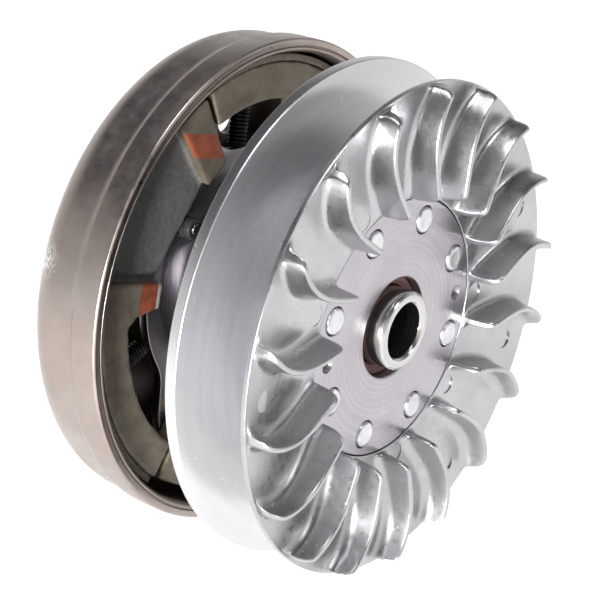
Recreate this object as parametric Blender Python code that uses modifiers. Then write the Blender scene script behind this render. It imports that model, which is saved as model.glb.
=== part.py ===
"""Driven pulley of a belt drive, with its centrifugal clutch and clutch drum.

The shaft axis is Y and +Z is up. The fan side faces -Y and the drum faces +Y. The origin is on
the axis, in the middle of the closed belt groove. Lengths below are in millimetres; an angle
is measured about the axis from +X towards +Z.
"""

import math

import bmesh
import bpy
from mathutils import Matrix, Vector

MM = 0.001
FIT = 0.3           # gap left between pieces that touch
SIDES_LARGE = 48
SIDES_MEDIUM = 32
SIDES_SMALL = 20
SIDES_TINY = 10
MERGE = 0.00001     # metres

# Belt groove
HALF_ANGLE = math.radians(14.0)
FACE_GAP = 0.35     # each flat inner face stands this far from the middle plane
FLAT_R = 34.0
TRAVEL = 14.0

# Fixed sheave with its fan
FAN_R = 75.5
FAN_RIM_Y = -12.4
FAN_DISH_Y = -8.5
FAN_DISH_R = 45.0
FAN_BEND_R = 66.0
FAN_BEND_Y = -11.2
FAN_BORE_R = 19.3
BLADES = 18
BLADE_PHASE = math.radians(0.7)
BLADE_TOP_Y = -19.4
BLADE_INNER_R = 42.6
BLADE_OUTER_R = 74.2
BLADE_BOW = 5.2
BLADE_THICK = 1.9
BLADE_STATIONS = 7

# Fixed hub: flange and tube
FLANGE_R = 39.75
FLANGE_Y = -8.3
FLANGE_THICK = 3.0
HUB_R = 19.0
HUB_BORE_R = 13.0
SEAT_R = 15.6       # fan-side bore that holds the seal and the needle bearing
SEAT_END_Y = 14.6
THREAD_R = 17.8
SHOULDER_Y = 52.7
HUB_END_Y = 62.8
RIVETS = 8
RIVET_CIRCLE_R = 33.2
RIVET_PHASE = math.radians(19.1)
RIVET_R = 4.0
RIVET_TOP_Y = -9.0
RIVET_END_Y = -1.6
PULLER_R = 2.6
PULLER_CIRCLE_R = 33.4
PULLER_ANGLE = math.radians(-3.0)

# Shaft side
SHAFT_R = 8.5
SLEEVE_R = 12.1
SLEEVE_FRONT_Y = -12.4

# Ball bearing at the clutch end
BEARING_Y = 48.0
BEARING_WIDTH = 7.0
BEARING_R = 15.0
BALL_CIRCLE_R = 11.8
BALL_R = 1.8
RACE_GAP = 0.3
BALLS = 9
CLIP_GROOVE_R = 16.5
CLIP_THICK = 1.2

# Oil seal and needle bearing at the fan end
SEAL_FRONT_Y = -5.0
SEAL_BACK_Y = -0.6
SHELL_THICK = 0.7
NEEDLES = 14
NEEDLE_CIRCLE_R = 13.4

# Moving sheave and its sliding sleeve
MOVING_R = 77.0
MOVING_RIM = 3.6
SLIDER_BORE_R = 19.3
SLIDER_R = 22.3
SLIDER_END_Y = 36.9
BOSS_END_Y = 7.0
BOSS_R = 31.0
O_RING_R = 0.95
O_RING_YS = (9.6, 34.4)
COLLAR_BORE_R = 23.5
COLLAR_R = 25.0
COLLAR_FLANGE_R = 34.5
COLLAR_FLANGE_THICK = 1.5
WASHER_R = 32.9
WASHER_BORE_R = 25.4
WASHER_THICK = 1.2
CAM_ANGLE = math.radians(40.0)
CAMS = 3
PIN_R = 3.0
PIN_Y = 28.8
CAM_PHASE = math.radians(90.0)

# Main spring
SPRING_R = 29.5
SPRING_WIRE_R = 2.25
SPRING_TURNS = 5.0

# Clutch
SHOES = 3
PIVOT_ANGLE = math.radians(111.0)
PIVOT_R = 50.0
PIVOT_PIN_R = 3.5
SHOE_FRONT_Y = 45.0
SHOE_BACK_Y = 61.0
BLOCK_BACK_Y = 52.7
WEB_BACK_Y = 52.5
SHOE_R = 68.9
SHOE_INNER_R = 57.5
BLOCK_INNER_R = 44.5
WEB_FRONT_Y = 48.7  # the thin web between a shoe's two blocks lies deeper than they do
WEB_R = 67.9
WEB_INNER = 40.2    # distance of the web's straight inner edge from the axis
PIN_HOLE_Y = 46.2   # bottom of the blind hole for the pivot pin
PIN_END_Y = 59.0
SHOE_START = 49.0   # places along a shoe, in degrees from its pivot
BLOCK_END = 59.0
SHOE_END = 113.5
LINING_START = 52.0
LINING_END = 112.0
DAMPER_PLACE = 23.0
SPRING_PLACE = 86.0
POST_CIRCLE_R = 36.0
DAMPER_R = 3.4
DAMPER_POST_R = 1.7
DAMPER_FRONT_Y = 46.6
SPRING_POST_R = 1.3
SPRING_POST_END_Y = 60.5
LINING_R = 71.3
LINING_BACK_Y = 60.0
PLATE_THICK = 3.2
PLATE_R = 41.0
PLATE_LOBE = 15.0
NUT_FLATS = 46.0
NUT_BACK_Y = 62.4

# Drum
DRUM_R = 77.0
DRUM_BORE_R = 72.5
DRUM_FRONT_Y = 40.7
DRUM_BACK_Y = 70.7
DRUM_BAND = 9.0
DRUM_REAR_R = 75.6
DRUM_WALL = 3.1
DRUM_ROUND = 11.0
VENTS = 6
VENT_R = 4.5
VENT_CIRCLE_R = 46.0
VENT_PHASE = math.radians(10.0)
DRUM_HUB_R = 22.0
DRUM_HUB_END_Y = 73.0
SPLINES = 18


def clear_scene():
    for obj in list(bpy.data.objects):
        bpy.data.objects.remove(obj, do_unlink=True)


def collection(name, hidden=False):
    made = bpy.data.collections.new(name)
    bpy.context.scene.collection.children.link(made)
    made.hide_render = hidden
    return made


clear_scene()
PARTS = collection("cvt_pulley_set")
CUTTERS = collection("cutters", hidden=True)


def material(name, colour, roughness, metallic):
    made = bpy.data.materials.new(name)
    made.use_nodes = True
    shader = made.node_tree.nodes["Principled BSDF"]
    shader.inputs["Base Color"].default_value = (*colour, 1.0)
    shader.inputs["Roughness"].default_value = roughness
    shader.inputs["Metallic"].default_value = metallic
    return made


CAST = material("cast_aluminium", (0.62, 0.62, 0.63), 0.4, 1.0)
TURNED = material("turned_aluminium", (0.72, 0.72, 0.74), 0.22, 1.0)
STEEL = material("machined_steel", (0.55, 0.54, 0.53), 0.3, 1.0)
BRIGHT = material("ground_steel", (0.7, 0.7, 0.7), 0.15, 1.0)
DRUM_STEEL = material("drum_steel", (0.42, 0.39, 0.36), 0.4, 1.0)
SHOE_CAST = material("shoe_casting", (0.45, 0.43, 0.39), 0.6, 1.0)
SPRING_STEEL = material("spring_steel", (0.08, 0.08, 0.09), 0.4, 1.0)
RUBBER = material("rubber", (0.02, 0.02, 0.02), 0.7, 0.0)
SEAL_RUBBER = material("seal_rubber", (0.16, 0.06, 0.04), 0.6, 0.0)
FRICTION = material("friction_lining", (0.12, 0.1, 0.08), 0.85, 0.0)


# Pieces and helpers

def place(name, mesh, finish=None, parent=None):
    """Link a mesh as a piece, or as a cutter when it has no finish."""
    obj = bpy.data.objects.new(name, mesh)
    if finish is None:
        CUTTERS.objects.link(obj)
        obj.hide_render = True
        obj.display_type = "WIRE"
        return obj
    PARTS.objects.link(obj)
    mesh.materials.append(finish)
    mesh.shade_smooth()
    mesh.set_sharp_from_angle(angle=math.radians(30.0))
    obj.parent = parent
    return obj


def empty(name, location=(0.0, 0.0, 0.0)):
    made = bpy.data.objects.new(name, None)
    made.location = location
    PARTS.objects.link(made)
    return made


def polar(radius, angle, y=0.0):
    """A point in metres from a radius, an angle and a place along the axis in millimetres."""
    return Vector((radius * math.cos(angle), y, radius * math.sin(angle))) * MM


def arc(centre, radius, start, end, count):
    """Points on an arc in degrees, both ends included."""
    angles = [math.radians(start + (end - start) * i / count) for i in range(count + 1)]
    return [(centre[0] + radius * math.cos(a), centre[1] + radius * math.sin(a)) for a in angles]


def turned(name, outline, sides, finish=None, parent=None):
    """Turn an outline of (radius, y) about the Y axis. It is closed, or it ends on the axis."""
    twice_area = sum(
        a[0] * b[1] - b[0] * a[1] for a, b in zip(outline, outline[1:] + outline[:1])
    )
    points = outline[::-1] if twice_area > 0 else outline
    solid_centre = min(radius for radius, _ in outline) == 0.0
    while solid_centre and not (points[0][0] == 0.0 and points[-1][0] == 0.0):
        points = points[1:] + points[:1]
    count = len(points)
    edges = [(i, i + 1) for i in range(count - 1)]
    if not solid_centre:
        edges.append((count - 1, 0))
    mesh = bpy.data.meshes.new(name)
    mesh.from_pydata([(r * MM, y * MM, 0.0) for r, y in points], edges, [])
    obj = place(name, mesh, finish, parent)
    screw = obj.modifiers.new("turn", "SCREW")
    screw.axis = "Y"
    screw.steps = sides
    screw.render_steps = sides
    screw.use_merge_vertices = True
    screw.merge_threshold = MERGE
    screw.use_smooth_shade = True
    return obj


def rod(name, radius, start_y, end_y, sides, finish=None, chamfer=0.4, parent=None):
    """A solid pin along Y with chamfered ends."""
    outline = [
        (0.0, end_y), (radius - chamfer, end_y), (radius, end_y - chamfer),
        (radius, start_y + chamfer), (radius - chamfer, start_y), (0.0, start_y),
    ]
    return turned(name, outline, sides, finish, parent)


def drill_bit(name, radius, start_y, end_y, sides=SIDES_TINY):
    """A plain cylinder along Y that cuts a hole."""
    outline = [(0.0, end_y), (radius, end_y), (radius, start_y), (0.0, start_y)]
    return turned(name, outline, sides)


def flat_piece(name, outlines, front_y, back_y, finish=None, parent=None):
    """Extrude flat outlines of (x, z) from front_y to back_y; inner outlines are holes."""
    curve = bpy.data.curves.new(name, "CURVE")
    curve.dimensions = "2D"
    curve.fill_mode = "BOTH"
    curve.extrude = (back_y - front_y) / 2 * MM
    for outline in outlines:
        spline = curve.splines.new("POLY")
        spline.points.add(len(outline) - 1)
        for point, (x, z) in zip(spline.points, outline):
            point.co = (x * MM, z * MM, 0.0, 1.0)
        spline.use_cyclic_u = True
    stand = Matrix.Rotation(math.pi / 2, 4, "X")
    return mesh_piece(name, curve, Matrix.Translation((0, (front_y + back_y) / 2 * MM, 0)) @ stand,
                      finish, parent)


def mesh_piece(name, curve, matrix, finish, parent=None):
    """Turn a curve into a welded mesh, so that it can be cut or joined."""
    shape = bpy.data.objects.new(name + "_curve", curve)
    bpy.context.scene.collection.objects.link(shape)
    graph = bpy.context.evaluated_depsgraph_get()
    mesh = bpy.data.meshes.new_from_object(shape.evaluated_get(graph))
    bpy.data.objects.remove(shape, do_unlink=True)
    mesh.transform(matrix)
    work = bmesh.new()
    work.from_mesh(mesh)
    bmesh.ops.remove_doubles(work, verts=work.verts, dist=MERGE)
    bmesh.ops.recalc_face_normals(work, faces=work.faces)
    work.to_mesh(mesh)
    work.free()
    mesh.name = name
    mesh.materials.clear()
    return place(name, mesh, finish, parent)


def wire(name, points, radius, finish=None, rings=2):
    """A round wire through points in metres, with flat ends."""
    curve = bpy.data.curves.new(name, "CURVE")
    curve.dimensions = "3D"
    curve.bevel_depth = radius * MM
    curve.bevel_resolution = rings
    curve.use_fill_caps = True
    spline = curve.splines.new("POLY")
    spline.points.add(len(points) - 1)
    for point, co in zip(spline.points, points):
        point.co = (*co, 1.0)
    return mesh_piece(name, curve, Matrix.Identity(4), finish)


def shape_with(obj, other, operation="DIFFERENCE", solver="EXACT"):
    boolean = obj.modifiers.new(operation.lower(), "BOOLEAN")
    boolean.object = other
    boolean.operation = operation
    boolean.solver = solver


def drill(obj, name, radius, start_y, end_y, spots, solver="EXACT"):
    """Drill holes along Y at each (circle radius, angle)."""
    for number, (circle_r, angle) in enumerate(spots, 1):
        bit = drill_bit(f"{name}_{number}", radius, start_y, end_y)
        bit.location = polar(circle_r, angle)
        shape_with(obj, bit, solver=solver)


def ring_of(count, circle_r, phase):
    return [(circle_r, phase + 2 * math.pi * i / count) for i in range(count)]


def groove_face(radius):
    """Distance of a belt face from the middle plane."""
    return FACE_GAP + max(0.0, radius - FLAT_R) * math.tan(HALF_ANGLE)


# Shaft side: everything clamped to the gearbox shaft

def shaft_side():
    end_y = BEARING_Y - FIT
    chamfer = 0.8
    turned("inner_sleeve", [
        (SLEEVE_R, end_y), (SLEEVE_R, SLEEVE_FRONT_Y + chamfer),
        (SLEEVE_R - chamfer, SLEEVE_FRONT_Y), (SHAFT_R + 0.5, SLEEVE_FRONT_Y),
        (SHAFT_R, SLEEVE_FRONT_Y + 0.5), (SHAFT_R, end_y),
    ], SIDES_MEDIUM, BRIGHT)
    groove_r = BALL_R + RACE_GAP
    middle = (BALL_CIRCLE_R, BEARING_Y + BEARING_WIDTH / 2)
    land_r = 10.4
    lean = math.degrees(math.acos((BALL_CIRCLE_R - land_r) / groove_r))
    back_y = BEARING_Y + BEARING_WIDTH
    turned("bearing_inner_ring", [
        (land_r, BEARING_Y), (SHAFT_R, BEARING_Y), (SHAFT_R, back_y), (land_r, back_y),
        *arc(middle, groove_r, 180 - lean, 180 + lean, 3),
    ], SIDES_SMALL, BRIGHT)
    drum_hub(back_y + FIT)
    drum_shell()


def drum_hub(front_y):
    boss_r = 12.4
    flange_r = 26.0
    flange_front_y = 64.4
    flange_back_y = DRUM_BACK_Y - DRUM_WALL - FIT
    end_y = DRUM_HUB_END_Y
    root_r = SHAFT_R - 0.5
    tip_r = SHAFT_R + 0.4
    hub = turned("drum_hub", [
        (boss_r, front_y), (boss_r, flange_front_y), (flange_r, flange_front_y),
        (flange_r, flange_back_y), (DRUM_HUB_R, flange_back_y), (DRUM_HUB_R, end_y - 1.0),
        (DRUM_HUB_R - 1.0, end_y), (SHAFT_R - 1.0, end_y), (SHAFT_R - 1.0, front_y),
    ], SIDES_MEDIUM, STEEL)
    step = 2 * math.pi / SPLINES
    outline = []
    for tooth in range(SPLINES):
        for share, radius in ((0.05, root_r), (0.2, tip_r), (0.55, tip_r), (0.7, root_r)):
            angle = (tooth + share) * step
            outline.append((radius * math.cos(angle), radius * math.sin(angle)))
    broach = flat_piece("spline_broach", [outline], front_y - 2.0, end_y + 2.0)
    shape_with(hub, broach)


def drum_shell():
    band_end_y = DRUM_FRONT_Y + DRUM_BAND
    centre = (DRUM_REAR_R - DRUM_ROUND, DRUM_BACK_Y - DRUM_ROUND)
    inner_y = DRUM_BACK_Y - DRUM_WALL
    hole_r = DRUM_HUB_R + FIT
    shell = turned("clutch_drum", [
        (DRUM_R - 0.6, DRUM_FRONT_Y), (DRUM_BORE_R + 0.6, DRUM_FRONT_Y),
        (DRUM_BORE_R, DRUM_FRONT_Y + 0.6),
        *arc(centre, DRUM_ROUND - DRUM_WALL, 0, 90, 3),
        (hole_r, inner_y), (hole_r, DRUM_BACK_Y),
        *arc(centre, DRUM_ROUND, 90, 0, 4),
        (DRUM_REAR_R, band_end_y + 1.5), (DRUM_R, band_end_y), (DRUM_R, DRUM_FRONT_Y + 0.6),
    ], SIDES_LARGE, DRUM_STEEL)
    drill(shell, "vent_drill", VENT_R, inner_y - 3.0, DRUM_BACK_Y + 3.0,
          ring_of(VENTS, VENT_CIRCLE_R, VENT_PHASE), solver="MANIFOLD")


# Fixed half: fan sheave, hub and what is fastened to them

def fan_blades():
    """Bowed blades as one open surface with thickness, their feet sunk into the casting."""
    mesh = bpy.data.meshes.new("blade_sheets")
    work = bmesh.new()
    half_chord = (BLADE_OUTER_R - BLADE_INNER_R) / 2
    bow_r = (half_chord ** 2 + BLADE_BOW ** 2) / (2 * BLADE_BOW)
    reach = math.asin(half_chord / bow_r)
    for blade in range(BLADES):
        turn = Matrix.Rotation(-(BLADE_PHASE + 2 * math.pi * blade / BLADES), 4, "Y")
        rows = []
        for station in range(BLADE_STATIONS + 1):
            swing = reach * (2 * station / BLADE_STATIONS - 1)
            x = BLADE_INNER_R + half_chord + bow_r * math.sin(swing)
            z = bow_r * (math.cos(swing) - math.cos(reach))
            foot_y = -groove_face(math.hypot(x, z)) - 1.1
            rows.append([
                work.verts.new(turn @ Vector((x, foot_y, z)) * MM),
                work.verts.new(turn @ Vector((x, BLADE_TOP_Y, z)) * MM),
            ])
        for near, far in zip(rows, rows[1:]):
            work.faces.new((near[0], far[0], far[1], near[1]))
    work.to_mesh(mesh)
    work.free()
    sheets = place("blade_sheets", mesh)
    thick = sheets.modifiers.new("thickness", "SOLIDIFY")
    thick.thickness = BLADE_THICK * MM
    thick.offset = 0.0
    thick.use_even_offset = True
    return sheets


def fixed_sheave(parent):
    seat_y = FLANGE_Y + FLANGE_THICK + FIT
    recess_r = FLANGE_R + FIT
    sheave = turned("fan_sheave", [
        (FAN_R, FAN_RIM_Y + 0.2), (FAN_R, -groove_face(FAN_R)), (FLAT_R, -FACE_GAP),
        (FAN_BORE_R, -FACE_GAP), (FAN_BORE_R, seat_y), (recess_r, seat_y),
        (recess_r, FAN_DISH_Y), (FAN_DISH_R, FAN_DISH_Y), (FAN_BEND_R, FAN_BEND_Y),
        (FAN_R - 0.5, FAN_RIM_Y),
    ], SIDES_LARGE, CAST, parent)
    shape_with(sheave, fan_blades(), "UNION", "MANIFOLD")
    drill(sheave, "sheave_rivet_drill", RIVET_R + FIT, seat_y - 2.0, 3.0,
          ring_of(RIVETS, RIVET_CIRCLE_R, RIVET_PHASE), "MANIFOLD")
    drill(sheave, "sheave_puller_drill", PULLER_R, seat_y - 2.0, -2.4,
          ring_of(2, PULLER_CIRCLE_R, PULLER_ANGLE), "MANIFOLD")


def fixed_hub(parent):
    flange_back_y = FLANGE_Y + FLANGE_THICK
    bearing_seat_r = BEARING_R + FIT
    groove_y = BEARING_Y + BEARING_WIDTH + 0.15
    groove_end_y = groove_y + CLIP_THICK + 0.3
    hub = turned("fixed_hub", [
        (FLANGE_R, FLANGE_Y), (FLANGE_R, flange_back_y), (HUB_R, flange_back_y),
        (HUB_R, SHOULDER_Y), (THREAD_R, SHOULDER_Y), (THREAD_R, HUB_END_Y),
        (bearing_seat_r, HUB_END_Y), (bearing_seat_r, groove_end_y),
        (CLIP_GROOVE_R, groove_end_y), (CLIP_GROOVE_R, groove_y), (bearing_seat_r, groove_y),
        (bearing_seat_r, BEARING_Y - FIT), (HUB_BORE_R, BEARING_Y - FIT),
        (HUB_BORE_R, SEAT_END_Y), (SEAT_R, SEAT_END_Y), (SEAT_R, FLANGE_Y),
    ], SIDES_MEDIUM, STEEL, parent)
    drill(hub, "flange_rivet_drill", RIVET_R + FIT, FLANGE_Y - 2.0, flange_back_y + 2.0,
          ring_of(RIVETS, RIVET_CIRCLE_R, RIVET_PHASE))
    drill(hub, "flange_puller_drill", PULLER_R, FLANGE_Y - 2.0, flange_back_y + 2.0,
          ring_of(2, PULLER_CIRCLE_R, PULLER_ANGLE))
    for number, (_, angle) in enumerate(ring_of(CAMS, 0.0, CAM_PHASE), 1):
        bit = drill_bit(f"guide_drill_{number}", PIN_R + FIT, HUB_BORE_R - 3.0, HUB_R + 3.0)
        point_outwards(bit, angle)
        shape_with(hub, bit)
        pin = rod(f"guide_pin_{number}", PIN_R, HUB_BORE_R + 0.6, SLIDER_R - FIT,
                  SIDES_TINY, BRIGHT, parent=parent)
        point_outwards(pin, angle)
    for number, (circle_r, angle) in enumerate(ring_of(RIVETS, RIVET_CIRCLE_R, RIVET_PHASE), 1):
        rivet = rod(f"sheave_rivet_{number}", RIVET_R, RIVET_TOP_Y, RIVET_END_Y,
                    SIDES_TINY, STEEL, parent=parent)
        rivet.location = polar(circle_r, angle)


def point_outwards(obj, angle):
    """Lay a piece made along Y on the radius at this angle, at the guide pins' place."""
    radial = Matrix.Rotation(-angle, 4, "Y") @ Matrix.Rotation(-math.pi / 2, 4, "Z")
    obj.matrix_local = Matrix.Translation((0.0, PIN_Y * MM, 0.0)) @ radial


def hub_bearings(parent):
    gap = 0.25
    seal_r = SLEEVE_R + gap
    turned("hub_oil_seal", [
        (SEAT_R - gap, SEAL_FRONT_Y), (SEAT_R - gap, SEAL_BACK_Y), (seal_r, SEAL_BACK_Y),
        (seal_r, SEAL_FRONT_Y),
    ], SIDES_SMALL, SEAL_RUBBER, parent)
    shell_r = SEAT_R - gap - SHELL_THICK
    shell_y = SEAL_BACK_Y + 0.4
    shell_end_y = SEAT_END_Y - 0.4
    turned("needle_bearing_shell", [
        (SEAT_R - gap, shell_y), (SEAT_R - gap, shell_end_y), (shell_r, shell_end_y),
        (shell_r, shell_y),
    ], SIDES_SMALL, BRIGHT, parent)
    groove_r = BALL_R + RACE_GAP
    middle = (BALL_CIRCLE_R, BEARING_Y + BEARING_WIDTH / 2)
    land_r = 13.2
    lean = math.degrees(math.acos((land_r - BALL_CIRCLE_R) / groove_r))
    back_y = BEARING_Y + BEARING_WIDTH
    turned("bearing_outer_ring", [
        (land_r, back_y), (BEARING_R, back_y), (BEARING_R, BEARING_Y), (land_r, BEARING_Y),
        *arc(middle, groove_r, -lean, lean, 3),
    ], SIDES_SMALL, BRIGHT, parent)
    clip_y = back_y + 0.3
    gap_start = 110
    gap_end = 430
    clip_bore_r = 13.5
    outer = arc((0, 0), CLIP_GROOVE_R - 0.3, gap_start, gap_end, 20)
    inner = arc((0, 0), clip_bore_r, gap_end, gap_start, 20)
    flat_piece("bearing_circlip", [outer + inner], clip_y, clip_y + CLIP_THICK, SPRING_STEEL, parent)


def needle_cage():
    """Needles and cage as one ring whose edges swell at each needle."""
    def edge(low_r, high_r):
        points = []
        for i in range(NEEDLES * 4):
            radius = (low_r, (low_r + high_r) / 2, high_r, (low_r + high_r) / 2)[i % 4]
            angle = 2 * math.pi * i / (NEEDLES * 4)
            points.append((radius * math.cos(angle), radius * math.sin(angle)))
        return points
    outlines = [edge(NEEDLE_CIRCLE_R + 0.3, NEEDLE_CIRCLE_R + 1.0),
                edge(NEEDLE_CIRCLE_R - 0.3, NEEDLE_CIRCLE_R - 1.0)]
    flat_piece("needle_cage", outlines, 0.6, 13.4, BRIGHT)


def ball_cage():
    """Balls held by one cage ring."""
    middle_y = BEARING_Y + BEARING_WIDTH / 2
    half = 0.6
    cage = turned("ball_cage", [
        (BALL_CIRCLE_R + half, middle_y + half), (BALL_CIRCLE_R + half, middle_y - half),
        (BALL_CIRCLE_R - half, middle_y - half), (BALL_CIRCLE_R - half, middle_y + half),
    ], SIDES_SMALL, BRIGHT)
    mesh = bpy.data.meshes.new("balls")
    work = bmesh.new()
    for circle_r, angle in ring_of(BALLS, BALL_CIRCLE_R, 0.0):
        bmesh.ops.create_uvsphere(work, u_segments=6, v_segments=5, radius=BALL_R * MM,
                                  matrix=Matrix.Translation(polar(circle_r, angle, middle_y)))
    work.to_mesh(mesh)
    work.free()
    shape_with(cage, place("balls", mesh), "UNION")


# Moving half

def cam_turn():
    """Turn of the moving half per millimetre of travel, in radians."""
    return math.tan(CAM_ANGLE) / ((SLIDER_BORE_R + SLIDER_R) / 2)


def moving_half(parent):
    back_slope = groove_face(MOVING_R) + MOVING_RIM
    bore_r = SLIDER_R + FIT
    turned("moving_sheave", [
        (MOVING_R, back_slope), (MOVING_R, groove_face(MOVING_R)), (FLAT_R, FACE_GAP),
        (bore_r, FACE_GAP), (bore_r, BOSS_END_Y), (BOSS_R, BOSS_END_Y), (BOSS_R + 2.0, 4.6),
        (MOVING_R - 5.0, 13.9), (MOVING_R - 2.5, back_slope),
    ], SIDES_LARGE, TURNED, parent)
    slider = turned("sliding_sleeve", slider_outline(), SIDES_MEDIUM, STEEL, parent)
    for number in range(CAMS):
        shape_with(slider, cam_slot(number))
    flange_y = BOSS_END_Y + FIT
    seat_y = flange_y + COLLAR_FLANGE_THICK
    lip_r = COLLAR_FLANGE_R - 1.2
    lip_y = flange_y + 5.0
    turned("seal_collar", [
        (COLLAR_FLANGE_R, flange_y), (COLLAR_BORE_R, flange_y), (COLLAR_BORE_R, SLIDER_END_Y),
        (COLLAR_R, SLIDER_END_Y), (COLLAR_R, seat_y), (lip_r, seat_y), (lip_r, lip_y),
        (COLLAR_FLANGE_R, lip_y),
    ], SIDES_MEDIUM, STEEL, parent)
    for number, y in enumerate(O_RING_YS, 1):
        turned(f"o_ring_{number}", arc((SLIDER_R, y), O_RING_R, 0, 300, 5), SIDES_SMALL, RUBBER, parent)


def slider_outline():
    depth = 1.3
    half_width = 1.3
    outline = [(SLIDER_BORE_R, SLIDER_END_Y), (SLIDER_BORE_R, FACE_GAP), (SLIDER_R, FACE_GAP)]
    for y in O_RING_YS:
        outline += [
            (SLIDER_R, y - half_width), (SLIDER_R - depth, y - half_width),
            (SLIDER_R - depth, y + half_width), (SLIDER_R, y + half_width),
        ]
    return outline + [(SLIDER_R, SLIDER_END_Y)]


def cam_slot(number):
    """The slanted slot that slides along a guide pin, as a round cutter on a helix."""
    reach = PIN_R + 1.2
    slope = cam_turn()
    start = CAM_PHASE + 2 * math.pi * number / CAMS
    steps = 5
    points = []
    for i in range(steps + 1):
        back = -reach * math.cos(CAM_ANGLE) + (TRAVEL + 2 * reach * math.cos(CAM_ANGLE)) * i / steps
        points.append(polar((SLIDER_BORE_R + SLIDER_R) / 2, start + back * slope, PIN_Y - back))
    return wire(f"cam_slot_{number + 1}", points, PIN_R + 0.8, rings=1)


def slip_washer():
    """The washer that the spring stands on. It gives the place of the spring's front end."""
    front_y = BOSS_END_Y + FIT + COLLAR_FLANGE_THICK + FIT
    back_y = front_y + WASHER_THICK
    turned("slip_washer", [
        (WASHER_R, front_y), (WASHER_BORE_R, front_y), (WASHER_BORE_R, back_y), (WASHER_R, back_y),
    ], SIDES_MEDIUM, STEEL)
    return back_y + FIT


def main_spring(front_y):
    """Compression spring with a closed turn at each end."""
    back_y = SHOULDER_Y - FIT
    low = front_y + SPRING_WIRE_R
    high = back_y - SPRING_WIRE_R
    per_turn = 14
    closed_turns = 0.6
    end_rise = 2 * SPRING_WIRE_R + 0.3
    steps = int(SPRING_TURNS * per_turn)
    rise = high - low - 2 * end_rise
    points = []
    for i in range(steps + 1):
        turn = i / per_turn
        climbed = max(0.0, min(1.0, (turn - closed_turns) / (SPRING_TURNS - 2 * closed_turns)))
        last_turn = max(0.0, turn - SPRING_TURNS + closed_turns)
        ends = (min(turn, closed_turns) + last_turn) / closed_turns
        y = low + end_rise * ends + rise * climbed
        points.append(polar(SPRING_R, 2 * math.pi * turn, y))
    wire("main_spring", points, SPRING_WIRE_R, SPRING_STEEL, rings=1)


# Clutch

def shoe_point(pivot, radius, degrees):
    """A point (x, z) of a shoe from its radius and its place along the shoe."""
    angle = pivot + math.radians(degrees)
    return (radius * math.cos(angle), radius * math.sin(angle))


def shoe_arc(pivot):
    """The start block and the arc that carries the lining."""
    outer = [SHOE_START + (SHOE_END - SHOE_START) * i / 12 for i in range(13)]
    inner = [SHOE_END + (BLOCK_END + 2.0 - SHOE_END) * i / 10 for i in range(11)]
    return (
        [shoe_point(pivot, BLOCK_INNER_R, SHOE_START)]
        + [shoe_point(pivot, SHOE_R, place) for place in outer]
        + [shoe_point(pivot, SHOE_INNER_R, place) for place in inner]
        + [shoe_point(pivot, BLOCK_INNER_R, BLOCK_END)]
    )


def shoe_web(pivot):
    """The thin web from the pivot block to the start block."""
    start = 5.2
    end = 52.0
    bend = 39.0
    edge = [start + (end - start) * i / 8 for i in range(9)]

    def on_inner_edge(degrees):
        return shoe_point(pivot, WEB_INNER / math.cos(math.radians(degrees - DAMPER_PLACE)), degrees)

    return (
        [shoe_point(pivot, WEB_R, place) for place in edge]
        + [shoe_point(pivot, BLOCK_INNER_R + 2.0, end), on_inner_edge(bend), on_inner_edge(start)]
    )


def pivot_block(pivot):
    lead = -6.0
    trail = 6.5
    outer = WEB_R + 0.4
    return [
        shoe_point(pivot, BLOCK_INNER_R, lead), shoe_point(pivot, outer, lead + 1.5),
        shoe_point(pivot, outer, trail), shoe_point(pivot, BLOCK_INNER_R - 1.0, trail),
    ]


def circle(centre, radius, sides):
    return arc(centre, radius, 0, 360 - 360 / sides, sides - 1)


def shoe(number, pivot, body, parent):
    made = flat_piece(f"clutch_shoe_{number}", [shoe_arc(pivot)], SHOE_FRONT_Y, SHOE_BACK_Y,
                      SHOE_CAST, body)
    web = flat_piece(f"shoe_web_{number}", [shoe_web(pivot)], WEB_FRONT_Y, WEB_BACK_Y)
    shape_with(made, web, "UNION", "MANIFOLD")
    block = flat_piece(f"shoe_block_{number}", [pivot_block(pivot)], SHOE_FRONT_Y, BLOCK_BACK_Y)
    shape_with(made, block, "UNION", "MANIFOLD")
    drill(made, f"pivot_drill_{number}", PIVOT_PIN_R + 0.25, PIN_HOLE_Y, SHOE_BACK_Y,
          [(PIVOT_R, pivot)], "MANIFOLD")
    start = math.degrees(pivot) + LINING_START
    end = math.degrees(pivot) + LINING_END
    lining = flat_piece(f"shoe_lining_{number}", [
        arc((0, 0), LINING_R, start, end, 10) + arc((0, 0), SHOE_R + FIT, end, start, 10),
    ], SHOE_FRONT_Y + FIT, LINING_BACK_Y, FRICTION, body)
    for piece in (made, lining):
        piece.matrix_parent_inverse = Matrix.Translation(-body.location)
    pin = rod(f"pivot_pin_{number}", PIVOT_PIN_R, PIN_HOLE_Y + FIT, PIN_END_Y, SIDES_TINY, BRIGHT,
              parent=parent)
    pin.location = polar(PIVOT_R, pivot)
    clip_y = SHOULDER_Y + FIT + PLATE_THICK + FIT
    clip_r = 6.2
    clip = turned(f"pivot_clip_{number}", [
        (clip_r, clip_y), (clip_r, clip_y + 1.0), (PIVOT_PIN_R + 0.2, clip_y + 1.0),
        (PIVOT_PIN_R + 0.2, clip_y),
    ], SIDES_TINY, SPRING_STEEL, parent)
    clip.location = polar(PIVOT_R, pivot)


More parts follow.
